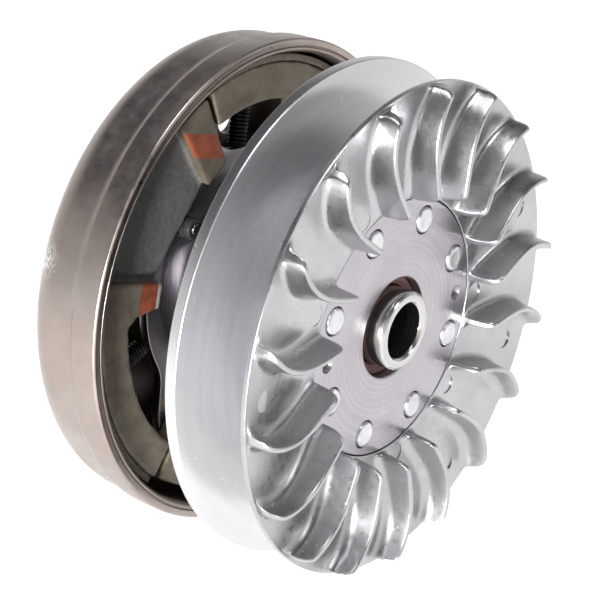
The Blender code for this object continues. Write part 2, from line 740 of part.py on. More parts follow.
def return_spring(number, pivot):
    """Extension spring from a post on the carrier plate out to the shoe's arc."""
    angle = pivot + math.radians(SPRING_PLACE)
    y = 58.6
    coil_r = 2.4
    start_r = 40.2
    end_r = 55.8
    turns = 5
    per_turn = 6
    along = polar(1.0, angle) / MM
    side = polar(1.0, angle + math.pi / 2) / MM
    points = [polar(37.6, angle, y) + side * coil_r * MM]
    for i in range(turns * per_turn + 1):
        swing = 2 * math.pi * i / per_turn
        radius = start_r + (end_r - start_r) * i / (turns * per_turn)
        offset = side * math.cos(swing) + Vector((0.0, math.sin(swing), 0.0))
        points.append(along * radius * MM + Vector((0.0, y * MM, 0.0)) + offset * coil_r * MM)
    points.append(polar(SHOE_INNER_R - FIT, angle, y) + side * coil_r * MM)
    wire(f"return_spring_{number}", points, 0.6, SPRING_STEEL, rings=0)


def carrier(parent):
    front_y = SHOULDER_Y + FIT
    back_y = front_y + PLATE_THICK
    count = 72
    outline = []
    for i in range(count):
        angle = 2 * math.pi * i / count + PIVOT_ANGLE
        lobe = max(0.0, math.cos(SHOES * (angle - PIVOT_ANGLE))) ** 4
        radius = PLATE_R + PLATE_LOBE * lobe
        outline.append((radius * math.cos(angle), radius * math.sin(angle)))
    holes = [circle((0, 0), THREAD_R + FIT, SIDES_MEDIUM)]
    for circle_r, angle in ring_of(SHOES, PIVOT_R, PIVOT_ANGLE):
        centre = (circle_r * math.cos(angle), circle_r * math.sin(angle))
        holes.append(circle(centre, PIVOT_PIN_R + 0.25, SIDES_TINY))
    plate = flat_piece("carrier_plate", [outline, *holes], front_y, back_y, STEEL, parent)
    for number, (circle_r, angle) in enumerate(
            ring_of(SHOES, POST_CIRCLE_R, PIVOT_ANGLE + math.radians(DAMPER_PLACE)), 1):
        post = drill_bit(f"damper_post_{number}", DAMPER_POST_R, DAMPER_FRONT_Y - 0.4, front_y + 1.0)
        post.location = polar(circle_r, angle)
        shape_with(plate, post, "UNION")
        damper_bore = DAMPER_POST_R + FIT
        damper = turned(f"shoe_damper_{number}", [
            (DAMPER_R, DAMPER_FRONT_Y), (DAMPER_R, front_y - FIT), (damper_bore, front_y - FIT),
            (damper_bore, DAMPER_FRONT_Y),
        ], SIDES_TINY, RUBBER, parent)
        damper.location = polar(circle_r, angle)
    for number, (circle_r, angle) in enumerate(
            ring_of(SHOES, POST_CIRCLE_R, PIVOT_ANGLE + math.radians(SPRING_PLACE)), 1):
        post = drill_bit(f"spring_post_{number}", SPRING_POST_R, back_y - 1.0, SPRING_POST_END_Y)
        post.location = polar(circle_r, angle)
        shape_with(plate, post, "UNION")
    flats_r = NUT_FLATS / 2 / math.cos(math.pi / 6)
    hexagon = circle((0, 0), flats_r, 6)
    flat_piece("carrier_nut", [hexagon, circle((0, 0), THREAD_R + FIT, SIDES_SMALL)],
               back_y + FIT, NUT_BACK_Y, STEEL, parent)


def build():
    shaft_side()
    spin_axis = empty("fixed_half_axis")
    fixed_sheave(spin_axis)
    fixed_hub(spin_axis)
    hub_bearings(spin_axis)
    needle_cage()
    ball_cage()
    moving_half(empty("moving_half_axis"))
    main_spring(slip_washer())
    carrier(spin_axis)
    for number, (circle_r, angle) in enumerate(ring_of(SHOES, PIVOT_R, PIVOT_ANGLE), 1):
        body = empty(f"shoe_{number}_pivot", polar(circle_r, angle))
        shoe(number, angle, body, spin_axis)
        return_spring(number, angle)


build()
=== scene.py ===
import math

import bmesh
import bpy
from mathutils import Matrix, Vector, noise


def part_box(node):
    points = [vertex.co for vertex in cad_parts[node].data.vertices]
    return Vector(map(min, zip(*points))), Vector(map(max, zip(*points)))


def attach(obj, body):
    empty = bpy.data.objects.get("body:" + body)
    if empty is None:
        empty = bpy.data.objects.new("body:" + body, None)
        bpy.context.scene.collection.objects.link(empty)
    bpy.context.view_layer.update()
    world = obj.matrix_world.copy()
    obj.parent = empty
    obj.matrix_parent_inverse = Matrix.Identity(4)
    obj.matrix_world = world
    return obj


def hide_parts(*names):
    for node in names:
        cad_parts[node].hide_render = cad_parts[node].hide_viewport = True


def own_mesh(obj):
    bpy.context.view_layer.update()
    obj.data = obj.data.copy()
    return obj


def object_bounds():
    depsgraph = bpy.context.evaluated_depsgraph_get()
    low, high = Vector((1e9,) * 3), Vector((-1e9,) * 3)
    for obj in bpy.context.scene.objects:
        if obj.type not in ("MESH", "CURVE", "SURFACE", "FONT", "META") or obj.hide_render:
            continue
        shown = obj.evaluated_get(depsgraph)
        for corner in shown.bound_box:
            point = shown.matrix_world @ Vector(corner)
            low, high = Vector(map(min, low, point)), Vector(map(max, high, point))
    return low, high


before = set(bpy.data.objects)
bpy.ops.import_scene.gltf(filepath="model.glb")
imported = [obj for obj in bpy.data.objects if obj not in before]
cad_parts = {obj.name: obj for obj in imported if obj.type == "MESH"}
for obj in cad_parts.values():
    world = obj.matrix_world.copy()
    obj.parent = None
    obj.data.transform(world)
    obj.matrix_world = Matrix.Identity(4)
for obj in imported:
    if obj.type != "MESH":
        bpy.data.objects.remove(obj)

CAD_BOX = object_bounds()

# Lengths are in millimetres. Angles run about the Y axis from +X towards +Z, in radians; a shoe's
# places, the ends of an arc and whatever DEGREE multiplies are in degrees.
MM = 0.001
TURN = 2 * math.pi
DEGREE = math.radians(1.0)
SIDES = 192
FINE = 64
SMALL = 32


# Measures taken from the frame

def span(node):
    """(outer radius, front y, back y) of a node that is round about the axis."""
    low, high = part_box(node)
    return high.x / MM, low.y / MM, high.y / MM


def middle(node):
    """(distance from the axis, angle, front y, back y) of a node that stands off the axis."""
    low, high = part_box(node)
    x = (low.x + high.x) / 2
    z = (low.z + high.z) / 2
    return math.hypot(x, z) / MM, math.atan2(z, x), low.y / MM, high.y / MM


def polar(radius, angle, y=0.0):
    return Vector((radius * math.cos(angle), y, radius * math.sin(angle))) * MM


def xz(radius, angle):
    return (radius * math.cos(angle), radius * math.sin(angle))


# Mesh helpers

def rounded(corners, steps=4):
    """Outline of (radius, y) from corners of (radius, y, rounding)."""
    outline = []
    count = len(corners)
    for i, (radius, y, cut) in enumerate(corners):
        here = Vector((radius, y))
        if cut == 0:
            outline.append((radius, y))
            continue
        before = Vector(corners[i - 1][:2]) - here
        after = Vector(corners[(i + 1) % count][:2]) - here
        start = here + before.normalized() * min(cut, before.length * 0.5)
        end = here + after.normalized() * min(cut, after.length * 0.5)
        for step in range(steps + 1):
            t = step / steps
            outline.append(tuple(start * (1 - t) ** 2 + here * (2 * t * (1 - t)) + end * t * t))
    return outline


def arc(centre, radius, start, end, steps):
    """Points on an arc in degrees."""
    angles = [math.radians(start + (end - start) * i / steps) for i in range(steps + 1)]
    return [(centre[0] + radius * math.cos(a), centre[1] + radius * math.sin(a)) for a in angles]


def mended(mesh, merge=0.0):
    """Weld, turn the faces outwards and shade smooth with sharp edges kept."""
    work = bmesh.new()
    work.from_mesh(mesh)
    if merge:
        bmesh.ops.remove_doubles(work, verts=work.verts, dist=merge)
    bmesh.ops.recalc_face_normals(work, faces=work.faces)
    work.to_mesh(mesh)
    work.free()
    mesh.shade_smooth()
    mesh.set_sharp_from_angle(angle=math.radians(38.0))
    return mesh


def grid_faces(rings, closed):
    """Faces between rings of vertex numbers, each ring running once round."""
    pairs = list(zip(rings, rings[1:]))
    if closed:
        pairs.append((rings[-1], rings[0]))
    faces = []
    for low, high in pairs:
        for i in range(len(low)):
            j = (i + 1) % len(low)
            face = []
            for corner in (low[i], low[j], high[j], high[i]):
                if corner not in face:
                    face.append(corner)
            if len(face) > 2:
                faces.append(face)
    return faces


def skin(name, rings, ends):
    """Mesh over rings of points, one point being a pole; its ends are open, closed or capped."""
    sides = max(len(points) for points in rings)
    verts = []
    numbers = []
    for points in rings:
        first = len(verts)
        verts += [tuple(point) for point in points]
        numbers.append(list(range(first, first + sides)) if len(points) > 1 else [first] * sides)
    faces = grid_faces(numbers, ends == "closed")
    if ends == "capped":
        faces += [numbers[0], numbers[-1]]
    mesh = bpy.data.meshes.new(name)
    mesh.from_pydata(verts, [], faces)
    return mended(mesh)


def lathe(name, outline, sides=SIDES):
    """Turn an outline of (radius, y) about Y; it is closed, or both its ends are on the axis."""
    rings = []
    for radius, y in outline:
        rings.append([polar(radius, TURN * i / sides, y) for i in range(sides if radius else 1)])
    return skin(name, rings, "closed" if outline[0][0] else "open")


def plain(points):
    """Outline points that stay as they are in a list of corners."""
    return [(radius, y, 0.0) for radius, y in points]


def pin_outline(radius, front, back, cut):
    """Outline of a solid pin whose two ends are rounded by cut."""
    return rounded([(0.0, front, 0.0), (radius, front, cut), (radius, back, cut), (0.0, back, 0.0)])


def ring_outline(inner, outer, front, back, cut):
    return rounded([(inner, front, cut), (outer, front, cut), (outer, back, cut), (inner, back, cut)])


def moved(mesh, radius, angle):
    """A copy of a mesh made about the axis, set off at a radius and an angle."""
    made = mesh.copy()
    made.transform(Matrix.Translation(polar(radius, angle)))
    return made


def ring_of(mesh, count, radius, start=0.0):
    """Copies of a mesh evenly round the axis."""
    return [moved(mesh, radius, start + TURN * i / count) for i in range(count)]


def turned_by(mesh, angle):
    """A copy of a mesh turned about the Y axis in the sense that angles are counted."""
    made = mesh.copy()
    made.transform(Matrix.Rotation(-angle, 4, "Y"))
    return made


def joined(name, meshes):
    work = bmesh.new()
    for mesh in meshes:
        work.from_mesh(mesh)
    made = bpy.data.meshes.new(name)
    work.to_mesh(made)
    work.free()
    made.shade_smooth()
    return made


def combined(mesh, other, operation="DIFFERENCE"):
    """Cut one mesh with another, or join them into one skin."""
    objects = []
    for part in (mesh, other):
        obj = bpy.data.objects.new("working", part)
        bpy.context.scene.collection.objects.link(obj)
        objects.append(obj)
    boolean = objects[0].modifiers.new("boolean", "BOOLEAN")
    boolean.object = objects[1]
    boolean.operation = operation
    boolean.solver = "MANIFOLD"
    graph = bpy.context.evaluated_depsgraph_get()
    made = bpy.data.meshes.new_from_object(objects[0].evaluated_get(graph))
    for obj in objects:
        bpy.data.objects.remove(obj)
    made.shade_smooth()
    made.set_sharp_from_angle(angle=math.radians(38.0))
    return made


def cut(mesh, cutters):
    return combined(mesh, joined("cutters", cutters))


def plate(name, outlines, front, back, edge):
    """A flat piece from outlines of (x, z) with rounded edges; inner outlines are holes."""
    curve = bpy.data.curves.new(name, "CURVE")
    curve.dimensions = "2D"
    curve.fill_mode = "BOTH"
    curve.extrude = ((back - front) / 2 - edge) * MM
    curve.bevel_depth = edge * MM
    curve.offset = -edge * MM
    curve.bevel_resolution = 2
    for outline in outlines:
        spline = curve.splines.new("POLY")
        spline.points.add(len(outline) - 1)
        for point, (x, z) in zip(spline.points, outline):
            point.co = (x * MM, z * MM, 0.0, 1.0)
        spline.use_cyclic_u = True
    shape = bpy.data.objects.new(name, curve)
    bpy.context.scene.collection.objects.link(shape)
    graph = bpy.context.evaluated_depsgraph_get()
    mesh = bpy.data.meshes.new_from_object(shape.evaluated_get(graph))
    bpy.data.objects.remove(shape)
    stand = Matrix.Rotation(math.pi / 2, 4, "X")
    mesh.transform(Matrix.Translation((0, (front + back) / 2 * MM, 0)) @ stand)
    return mended(mesh, merge=0.00001)


def tube(name, points, radii, sides):
    """A round wire through points in metres, with a radius for each point and flat ends."""
    swings = [TURN * k / sides for k in range(sides)]
    rings = []
    normal = None
    for i, (point, radius) in enumerate(zip(points, radii)):
        ahead = points[min(i + 1, len(points) - 1)] - points[max(i - 1, 0)]
        ahead.normalize()
        if normal is None:
            normal = ahead.orthogonal().normalized()
        normal = (normal - ahead * normal.dot(ahead)).normalized()
        side = ahead.cross(normal)
        rings.append([point + (normal * math.cos(swing) + side * math.sin(swing)) * radius * MM
                      for swing in swings])
    return skin(name, rings, "capped")


def cast_skin(mesh, voxel, pits, grain):
    """Remesh a sharp solid and roughen it as a sand mould does; all sizes in mm."""
    obj = bpy.data.objects.new("working", mesh)
    bpy.context.scene.collection.objects.link(obj)
    remesh = obj.modifiers.new("remesh", "REMESH")
    remesh.mode = "VOXEL"
    remesh.voxel_size = voxel * MM
    soften = obj.modifiers.new("soften", "SMOOTH")
    soften.factor = 0.5
    soften.iterations = 3
    graph = bpy.context.evaluated_depsgraph_get()
    made = bpy.data.meshes.new_from_object(obj.evaluated_get(graph))
    bpy.data.objects.remove(obj)
    outwards = [vertex.normal.copy() for vertex in made.vertices]
    for vertex, normal in zip(made.vertices, outwards):
        spot = vertex.co / MM
        depth = noise.noise(spot / grain) + 0.5 * noise.noise(spot / grain * 2.3)
        vertex.co += normal * depth * pits * MM
    made.shade_smooth()
    return made


def piece(name, mesh, body, finish, *nodes):
    """Put a finished mesh in the scene on its body, in place of its CAD nodes.

    A finish is named as its slot, and Blender numbers it where the CAD holds that name.
    """
    obj = bpy.data.objects.new(name, mesh)
    bpy.context.scene.collection.objects.link(obj)
    mesh.materials.clear()
    mesh.materials.append(finish)
    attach(obj, body)
    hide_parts(*nodes)
    return obj


# Material helpers

class Finish:
    """A Principled material and the texture nodes that feed it."""

    def __init__(self, name, colour, roughness, metallic=1.0):
        self.material = bpy.data.materials.new(name)
        self.material.use_nodes = True
        self.nodes = self.material.node_tree.nodes
        self.links = self.material.node_tree.links
        self.shader = self.nodes["Principled BSDF"]
        self.shader.inputs["Metallic"].default_value = metallic
        self.shader.inputs["Roughness"].default_value = roughness
        self.shader.inputs["Base Color"].default_value = (*colour, 1.0)
        self.place = self.nodes.new("ShaderNodeTexCoord").outputs["Object"]
        self.bump = None

    def maths(self, operation, first, second=None, clamp=False):
        node = self.nodes.new("ShaderNodeMath")
        node.operation = operation
        node.use_clamp = clamp
        for socket, value in zip(node.inputs, (first, second)):
            if isinstance(value, (int, float)):
                socket.default_value = value
            elif value is not None:
                self.links.new(value, socket)
        return node.outputs[0]

    def mask(self, name):
        """A number that the mesh holds for each point."""
        node = self.nodes.new("ShaderNodeAttribute")
        node.attribute_name = name
        return node.outputs["Fac"]

    def turned_grain(self, amount):
        """Stretch highlights across the marks that turning leaves round the axis."""
        tangent = self.nodes.new("ShaderNodeTangent")
        tangent.direction_type = "RADIAL"
        tangent.axis = "Y"
        self.links.new(tangent.outputs[0], self.shader.inputs["Tangent"])
        self.shader.inputs["Anisotropic"].default_value = amount

    def axes(self):
        """The place split into x, y and z."""
        node = self.nodes.new("ShaderNodeSeparateXYZ")
        self.links.new(self.place, node.inputs[0])
        return node.outputs

    def radius(self):
        """Distance from the Y axis in metres."""
        x, _, z = self.axes()
        square = self.maths("ADD", self.maths("MULTIPLY", x, x), self.maths("MULTIPLY", z, z))
        return self.maths("SQRT", square)

    def noise(self, scale, detail=4.0, roughness=0.55, vector=None):
        node = self.nodes.new("ShaderNodeTexNoise")
        node.inputs["Scale"].default_value = scale
        node.inputs["Detail"].default_value = detail
        node.inputs["Roughness"].default_value = roughness
        self.links.new(vector or self.place, node.inputs["Vector"])
        return node.outputs["Fac"]

    def rings(self, pitch, axial):
        """Noise that runs round the axis, as a lathe tool leaves it; both sizes in mm."""
        node = self.nodes.new("ShaderNodeCombineXYZ")
        self.links.new(self.maths("MULTIPLY", self.radius(), 1 / (pitch * MM)), node.inputs[0])
        self.links.new(self.maths("MULTIPLY", self.axes()[1], 1 / (axial * MM)), node.inputs[1])
        return self.noise(1.0, 3.0, 0.6, vector=node.outputs[0])

    def ramp(self, fac, *stops):
        """Colour ramp of (position, colour or grey)."""
        node = self.nodes.new("ShaderNodeValToRGB")
        self.links.new(fac, node.inputs[0])
        elements = node.color_ramp.elements
        while len(elements) < len(stops):
            elements.new(1.0)
        for element, (position, colour) in zip(elements, stops):
            element.position = position
            element.color = (*colour, 1.0) if isinstance(colour, tuple) else (colour,) * 3 + (1.0,)
        return node.outputs[0]

    def spread(self, fac, low, high):
        """Ramp over the middle part of a noise."""
        return self.ramp(fac, (0.3, low), (0.7, high))

    def blend(self, fac, first, second):
        node = self.nodes.new("ShaderNodeMix")
        node.data_type = "RGBA"
        self.links.new(fac, node.inputs["Factor"])
        for socket, value in ((node.inputs[6], first), (node.inputs[7], second)):
            if isinstance(value, tuple):
                socket.default_value = (*value, 1.0)
            else:
                self.links.new(value, socket)
        return node.outputs[2]

    def near(self, point, reach, soft):
        """1 within reach of a point in metres, fading to 0 over soft; both in mm."""
        node = self.nodes.new("ShaderNodeVectorMath")
        node.operation = "DISTANCE"
        self.links.new(self.place, node.inputs[0])
        node.inputs[1].default_value = tuple(point)
        inside = self.maths("SUBTRACT", (reach + soft) * MM, node.outputs["Value"])
        return self.maths("MULTIPLY", inside, 1 / (soft * MM), clamp=True)

    def colour(self, source):
        self.links.new(source, self.shader.inputs["Base Color"])

    def rough(self, source):
        self.links.new(source, self.shader.inputs["Roughness"])

    def metal(self, source):
        self.links.new(source, self.shader.inputs["Metallic"])

    def relief(self, height, depth, strength):
        """Add a bump of this depth in millimetres on top of the ones before."""
        node = self.nodes.new("ShaderNodeBump")
        node.inputs["Distance"].default_value = depth * MM
        node.inputs["Strength"].default_value = strength
        self.links.new(height, node.inputs["Height"])
        if self.bump is not None:
            self.links.new(self.bump, node.inputs["Normal"])
        self.bump = node.outputs[0]
        self.links.new(self.bump, self.shader.inputs["Normal"])


# Finishes

def cast_aluminium():
    made = Finish("cast_aluminium", (0.52, 0.52, 0.54), 0.3)
    cloud = made.noise(45.0, 5.0, 0.6)
    made.colour(made.spread(cloud, (0.41, 0.41, 0.42), (0.54, 0.54, 0.55)))
    made.rough(made.spread(made.noise(420.0, 4.0, 0.65), 0.25, 0.37))
    made.relief(made.noise(120.0, 2.0, 0.4), 0.03, 0.2)
    made.relief(made.noise(1700.0, 3.0, 0.7), 0.012, 0.4)
    pits = made.ramp(made.noise(900.0, 1.0, 0.3), (0.24, 0.0), (0.3, 1.0))
    made.relief(pits, 0.06, 0.5)
    return made.material


def turned_aluminium():
    made = Finish("turned_aluminium", (0.72, 0.72, 0.74), 0.24)
    made.colour(made.ramp(made.rings(3.0, 3.0), (0.25, (0.69, 0.69, 0.70)), (0.75, (0.75, 0.75, 0.76))))
    made.rough(made.spread(made.rings(1.6, 1.6), 0.24, 0.27))
    pits = made.ramp(made.noise(420.0, 0.0, 0.0), (0.17, 0.0), (0.2, 1.0))
    made.relief(pits, 0.08, 0.6)
    made.turned_grain(0.7)
    return made.material


def machined_steel():
    made = Finish("machined_steel", (0.5, 0.49, 0.5), 0.3)
    patch = made.noise(60.0, 5.0, 0.6)
    tone = made.spread(patch, (0.41, 0.385, 0.41), (0.52, 0.495, 0.52))
    marks = made.ramp(made.rings(0.7, 0.7), (0.35, (0.38, 0.36, 0.385)), (0.65, (0.52, 0.505, 0.53)))
    made.colour(made.blend(made.ramp(made.noise(25.0), (0.4, 0.1), (0.6, 0.5)), tone, marks))
    made.rough(made.spread(made.rings(0.3, 0.3), 0.24, 0.4))
    made.relief(made.rings(0.22, 0.22), 0.012, 0.5)
    made.turned_grain(0.45)
    return made.material


def rivet_steel():
    made = Finish("rivet_steel", (0.68, 0.68, 0.70), 0.34)
    made.colour(made.spread(made.noise(400.0), (0.60, 0.60, 0.62), (0.76, 0.76, 0.78)))
    made.relief(made.noise(900.0, 3.0), 0.02, 0.5)
    return made.material


def ground_steel():
    made = Finish("ground_steel", (0.62, 0.61, 0.6), 0.13)
    made.rough(made.spread(made.rings(0.2, 0.5), 0.1, 0.22))
    made.colour(made.spread(made.rings(0.6, 1.4), (0.52, 0.51, 0.50), (0.66, 0.65, 0.64)))
    made.relief(made.rings(0.15, 0.15), 0.003, 0.4)
    made.turned_grain(0.5)
    return made.material


def drum_steel():
    made = Finish("drum_steel", (0.42, 0.37, 0.34), 0.3)
    patch = made.noise(38.0, 6.0, 0.62)
    tone = made.ramp(patch, (0.3, (0.36, 0.305, 0.275)), (0.72, (0.50, 0.445, 0.415)))
    stain = made.ramp(made.noise(14.0, 4.0, 0.6), (0.45, 0.0), (0.7, 0.5))
    tone = made.blend(stain, tone, (0.40, 0.30, 0.27))
    # Balancing grind mark on the rear shoulder at the upper left: streaks of bare ground metal, their
    # near-white colour partly a painted highlight that stands in for the glint of the dimple there.
    spot = polar(73.4, math.radians(158.0), 64.5)
    grind_mark_and_highlight = made.near(spot, 1.5, 5.0)
    grind_scratches_and_glint = made.ramp(made.noise(900.0, 2.0, 0.6), (0.42, 0.0), (0.55, 1.0))
    made.colour(made.blend(made.maths("MULTIPLY", grind_mark_and_highlight, grind_scratches_and_glint), tone, (0.85, 0.82, 0.79)))
    made.rough(made.spread(made.noise(180.0, 5.0, 0.7), 0.24, 0.4))
    made.relief(made.rings(0.3, 0.3), 0.01, 0.5)
    made.relief(made.noise(700.0, 4.0, 0.7), 0.015, 0.4)
    made.turned_grain(0.35)
    return made.material


def shoe_casting():
    made = Finish("shoe_casting", (0.20, 0.18, 0.15), 0.5, 0.35)
    grit = made.noise(1100.0, 4.0, 0.7)
    body = made.spread(made.noise(120.0, 5.0, 0.65), (0.11, 0.092, 0.066), (0.20, 0.172, 0.13))
    web = made.spread(grit, (0.11, 0.11, 0.105), (0.21, 0.21, 0.205))
    tone = made.blend(made.mask("web"), body, web)
    tone = made.blend(made.mask("bare"), tone, (0.60, 0.59, 0.57))
    ragged = made.maths("ADD", made.mask("paint"), made.maths("MULTIPLY", made.noise(350.0), 0.5))
    painted = made.ramp(ragged, (0.68, 0.0), (0.8, 1.0))
    red = made.spread(made.noise(260.0, 4.0), (0.17, 0.04, 0.018), (0.28, 0.075, 0.035))
    made.colour(made.blend(painted, tone, red))
    made.metal(made.ramp(painted, (0.0, 0.35), (1.0, 0.0)))
    made.rough(made.spread(grit, 0.38, 0.6))
    made.relief(grit, 0.1, 0.7)
    return made.material


def spring_steel():
    made = Finish("spring_steel", (0.05, 0.05, 0.06), 0.36, 0.9)
    made.colour(made.ramp(made.noise(160.0, 4.0), (0.3, (0.035, 0.035, 0.04)), (0.75, (0.09, 0.09, 0.10))))
    made.relief(made.noise(800.0, 3.0), 0.02, 0.5)
    return made.material


def rubber(name, dark, light):
    made = Finish(name, dark, 0.6, 0.0)
    made.colour(made.ramp(made.noise(300.0, 4.0), (0.3, dark), (0.7, light)))
    made.rough(made.spread(made.noise(500.0), 0.5, 0.75))
    made.relief(made.noise(1500.0, 2.0), 0.03, 0.4)
    return made.material


def friction_lining():
    made = Finish("friction_lining", (0.12, 0.10, 0.08), 0.85, 0.0)
    fleck = made.noise(1400.0, 3.0, 0.8)
    made.colour(made.ramp(fleck, (0.42, (0.07, 0.06, 0.05)), (0.6, (0.15, 0.12, 0.09)),
                          (0.75, (0.34, 0.26, 0.16))))
    made.relief(fleck, 0.12, 0.7)
    return made.material


CAST = cast_aluminium()
TURNED = turned_aluminium()
STEEL = machined_steel()
RIVET = rivet_steel()
GROUND = ground_steel()
DRUM = drum_steel()
SHOE = shoe_casting()
SPRING = spring_steel()
RUBBER = rubber("black_rubber", (0.012, 0.012, 0.013), (0.03, 0.03, 0.03))
SEAL = rubber("seal_rubber", (0.10, 0.05, 0.045), (0.17, 0.09, 0.08))
LINING = friction_lining()


# Sizes that several pieces share

FLANGE_THICK = 3.0
RIVETS = 8
RIVET_R = 4.0
RIVET_HOLE_R = 4.3
PIN_R = 3.0             # guide pins
PULLER_R = 2.6
PULLER_CIRCLE_R = 33.4
PULLER_ANGLE = -3.0 * DEGREE

TRAVEL = 14.0           # of the moving half
CAM_ANGLE = 40.0 * DEGREE
CAM_TURN = math.tan(CAM_ANGLE) / 20.8


# Fan sheave

HALF_ANGLE = 14.0 * DEGREE
FACE_GAP = 0.35
FLAT_R = 34.0
FAN_R = span("fan_sheave")[0]
DISH_R = 45.0
RIM_THICK = 1.6
MARKS = ((66.0, 14.7), (44.3, 32.6))    # rings of ejector marks: radius and first angle in degrees
MARK_R = 3.2
BLADES = 18
BLADE_STEP = TURN / BLADES
BLADE_PHASE = 0.7 * DEGREE
BLADE_BOW = 5.4 * DEGREE
BLADE_START_R = 39.5
BLADE_TIP_R = 74.6
BLADE_INNER_R = 40.6
TOP_HALF = 0.85
EDGE_ROUND = 0.75
ROOT_HALF = 1.25
FILLET_AHEAD = 2.2      # foot fillet on the side that leads
FILLET_BEHIND = 3.6


def groove_face(radius):
    """Distance of a belt face from the middle plane."""
    return FACE_GAP + max(0.0, radius - FLAT_R) * math.tan(HALF_ANGLE)


def blade_swing(radius):
    """How far ahead of its foot a blade's middle line is at a radius, as an angle."""
    share = (radius - BLADE_START_R) / (BLADE_TIP_R - BLADE_START_R)
    share = min(1.0, max(0.0, share))
    return BLADE_BOW * abs(math.sin(math.pi * share ** 1.15)) ** 0.8


def blade_lean(radius):
    """Cosine of the angle between a blade and the radius, limited at the curled tip."""
    step = 0.2
    slope = (blade_swing(radius + step) - blade_swing(radius - step)) / (2 * step) * radius
    return max(0.62, 1.0 / math.hypot(1.0, slope))


def blade_side(fillet):
    """Half of a blade's section as (distance from its middle, share of height, extra height)."""
    points = []
    for degrees in (68.0, 45.0, 22.0, 0.0):
        lean = math.radians(degrees)
        points.append((TOP_HALF - EDGE_ROUND + EDGE_ROUND * math.cos(lean), 1.0,
                       -EDGE_ROUND * (1 - math.sin(lean))))
    for share in (0.33, 0.66):
        points.append((TOP_HALF + (ROOT_HALF - TOP_HALF) * share, 1.0 - share,
                       -EDGE_ROUND * (1 - share) + fillet * share))
    for degrees in (0.0, 18.0, 36.0, 54.0, 72.0, 90.0):
        lean = math.radians(degrees)
        points.append((ROOT_HALF + fillet * (1 - math.cos(lean)), 0.0, fillet * (1 - math.sin(lean))))
    return points


def fan_rows():
    """Rows across the fan as (radius, share of blade height, share of blade width)."""
    rows = []
    inner_run = 3.4
    tip_run = 2.6
    steps = 9
    power = 0.8
    for i in range(steps + 1):
        turn = math.pi / 2 * (1 - i / steps)
        height = math.cos(turn) ** power
        rows.append((BLADE_INNER_R + inner_run * (1 - math.sin(turn) ** power), height, 0.7 + 0.3 * height))
    first = rows[-1][0]
    last = BLADE_TIP_R - tip_run
    count = 22
    rows += [(first + (last - first) * i / count, 1.0, 1.0) for i in range(1, count)]
    for i in range(steps + 1):
        turn = math.pi / 2 * i / steps
        height = math.cos(turn) ** power if i < steps else 0.0
        rows.append((BLADE_TIP_R - tip_run * (1 - math.sin(turn) ** power), height, 0.6 + 0.4 * height))
    return rows


DISH_Y = span("fixed_hub")[1] - 0.2
RIM_Y = -groove_face(FAN_R) - RIM_THICK


def fan_floor(radius):
    """Depth of the casting's face between the blades."""
    share = min(1.0, max(0.0, (radius - DISH_R) / (FAN_R - DISH_R)))
    return DISH_Y + (RIM_Y - DISH_Y) * share


def fan_mesh():
    top_y = span("fan_sheave")[1]
    recess_r = span("fixed_hub")[0] + 0.3
    ahead = blade_side(FILLET_AHEAD)
    behind = blade_side(FILLET_BEHIND)
    floor_points = 5

    def row(radius, height, width):
        floor = fan_floor(radius)
        tall = floor - top_y
        lean = blade_lean(radius)
        start = BLADE_PHASE + blade_swing(radius)

        def section(side, sign):
            made = []
            for distance, share, extra in side:
                rise = min(tall, share * tall + extra) if share else extra
                made.append((sign * distance * width / (radius * lean), floor - rise * height))
            return made

        lead = section(ahead, 1.0)
        trail = section(behind, -1.0)[::-1]
        gap_start = lead[-1][0]
        gap_end = BLADE_STEP + trail[0][0]
        middle_part = [(gap_start + (gap_end - gap_start) * k / (floor_points + 1), floor)
                       for k in range(1, floor_points + 1)]
        sector = [(0.0, floor - tall * height)] + lead + middle_part
        sector += [(BLADE_STEP + angle, y) for angle, y in trail]
        points = []
        for blade in range(BLADES):
            for angle, y in sector:
                points.append(polar(radius, start + blade * BLADE_STEP + angle, y))
        return points

    edge_r = FAN_R - 0.35
    rings = [row(*place) for place in fan_rows()] + [row(edge_r, 0.0, 0.6)]
    tip_angles = [math.atan2(point.z, point.x) for point in rings[-1]]
    root_angles = [math.atan2(point.z, point.x) for point in rings[0]]
    bore_r = 19.3
    seat_y = -5.0
    back = rounded([
        (edge_r, RIM_Y, 0.0), (FAN_R, RIM_Y, 0.35), (FAN_R, -groove_face(FAN_R), 0.3),
        *plain((radius, -groove_face(radius)) for radius in (70.0, 60.0, 50.0, 42.0)),
        (FLAT_R, -FACE_GAP, 0.5), (bore_r, -FACE_GAP, 0.5), (bore_r, seat_y, 0.3),
        (recess_r, seat_y, 0.3), (recess_r, DISH_Y, 0.35), (BLADE_INNER_R, DISH_Y, 0.0),
    ])
    for radius, y in back[1:-1]:
        angles = tip_angles if radius > recess_r + 1.0 else root_angles
        rings.append([polar(radius, angle, y) for angle in angles])
    return skin("fan_casting", rings, "closed")


def at_rivets(hole):
    return [moved(hole, *middle(f"sheave_rivet_{number}")[:2]) for number in range(1, RIVETS + 1)]


def fan_sheave():
    """The casting, turned bright on its belt face."""
    hole = lathe("hole", pin_outline(RIVET_HOLE_R, span("sheave_rivet_1")[1] + 2.0, 2.0, 0.0), SMALL)
    cutters = at_rivets(hole)
    for circle_r, first in MARKS:
        floor_y = fan_floor(circle_r)
        mark = lathe("mark", pin_outline(MARK_R, floor_y - 2.0, floor_y + 0.1, 0.0), SMALL)
        cutters += ring_of(mark, BLADES // 2, circle_r, first * DEGREE)
    obj = piece("fan_casting", cut(fan_mesh(), cutters), "fixed_half", CAST, "fan_sheave")
    obj.data.materials.append(TURNED)
    for face in obj.data.polygons:
        centre = face.center / MM
        radius = math.hypot(centre.x, centre.z)
        if FLAT_R < radius < FAN_R - 0.2 and centre.y > -groove_face(radius) - 0.2:
            face.material_index = 1


# Hub flange, rivets and the shaft sleeve

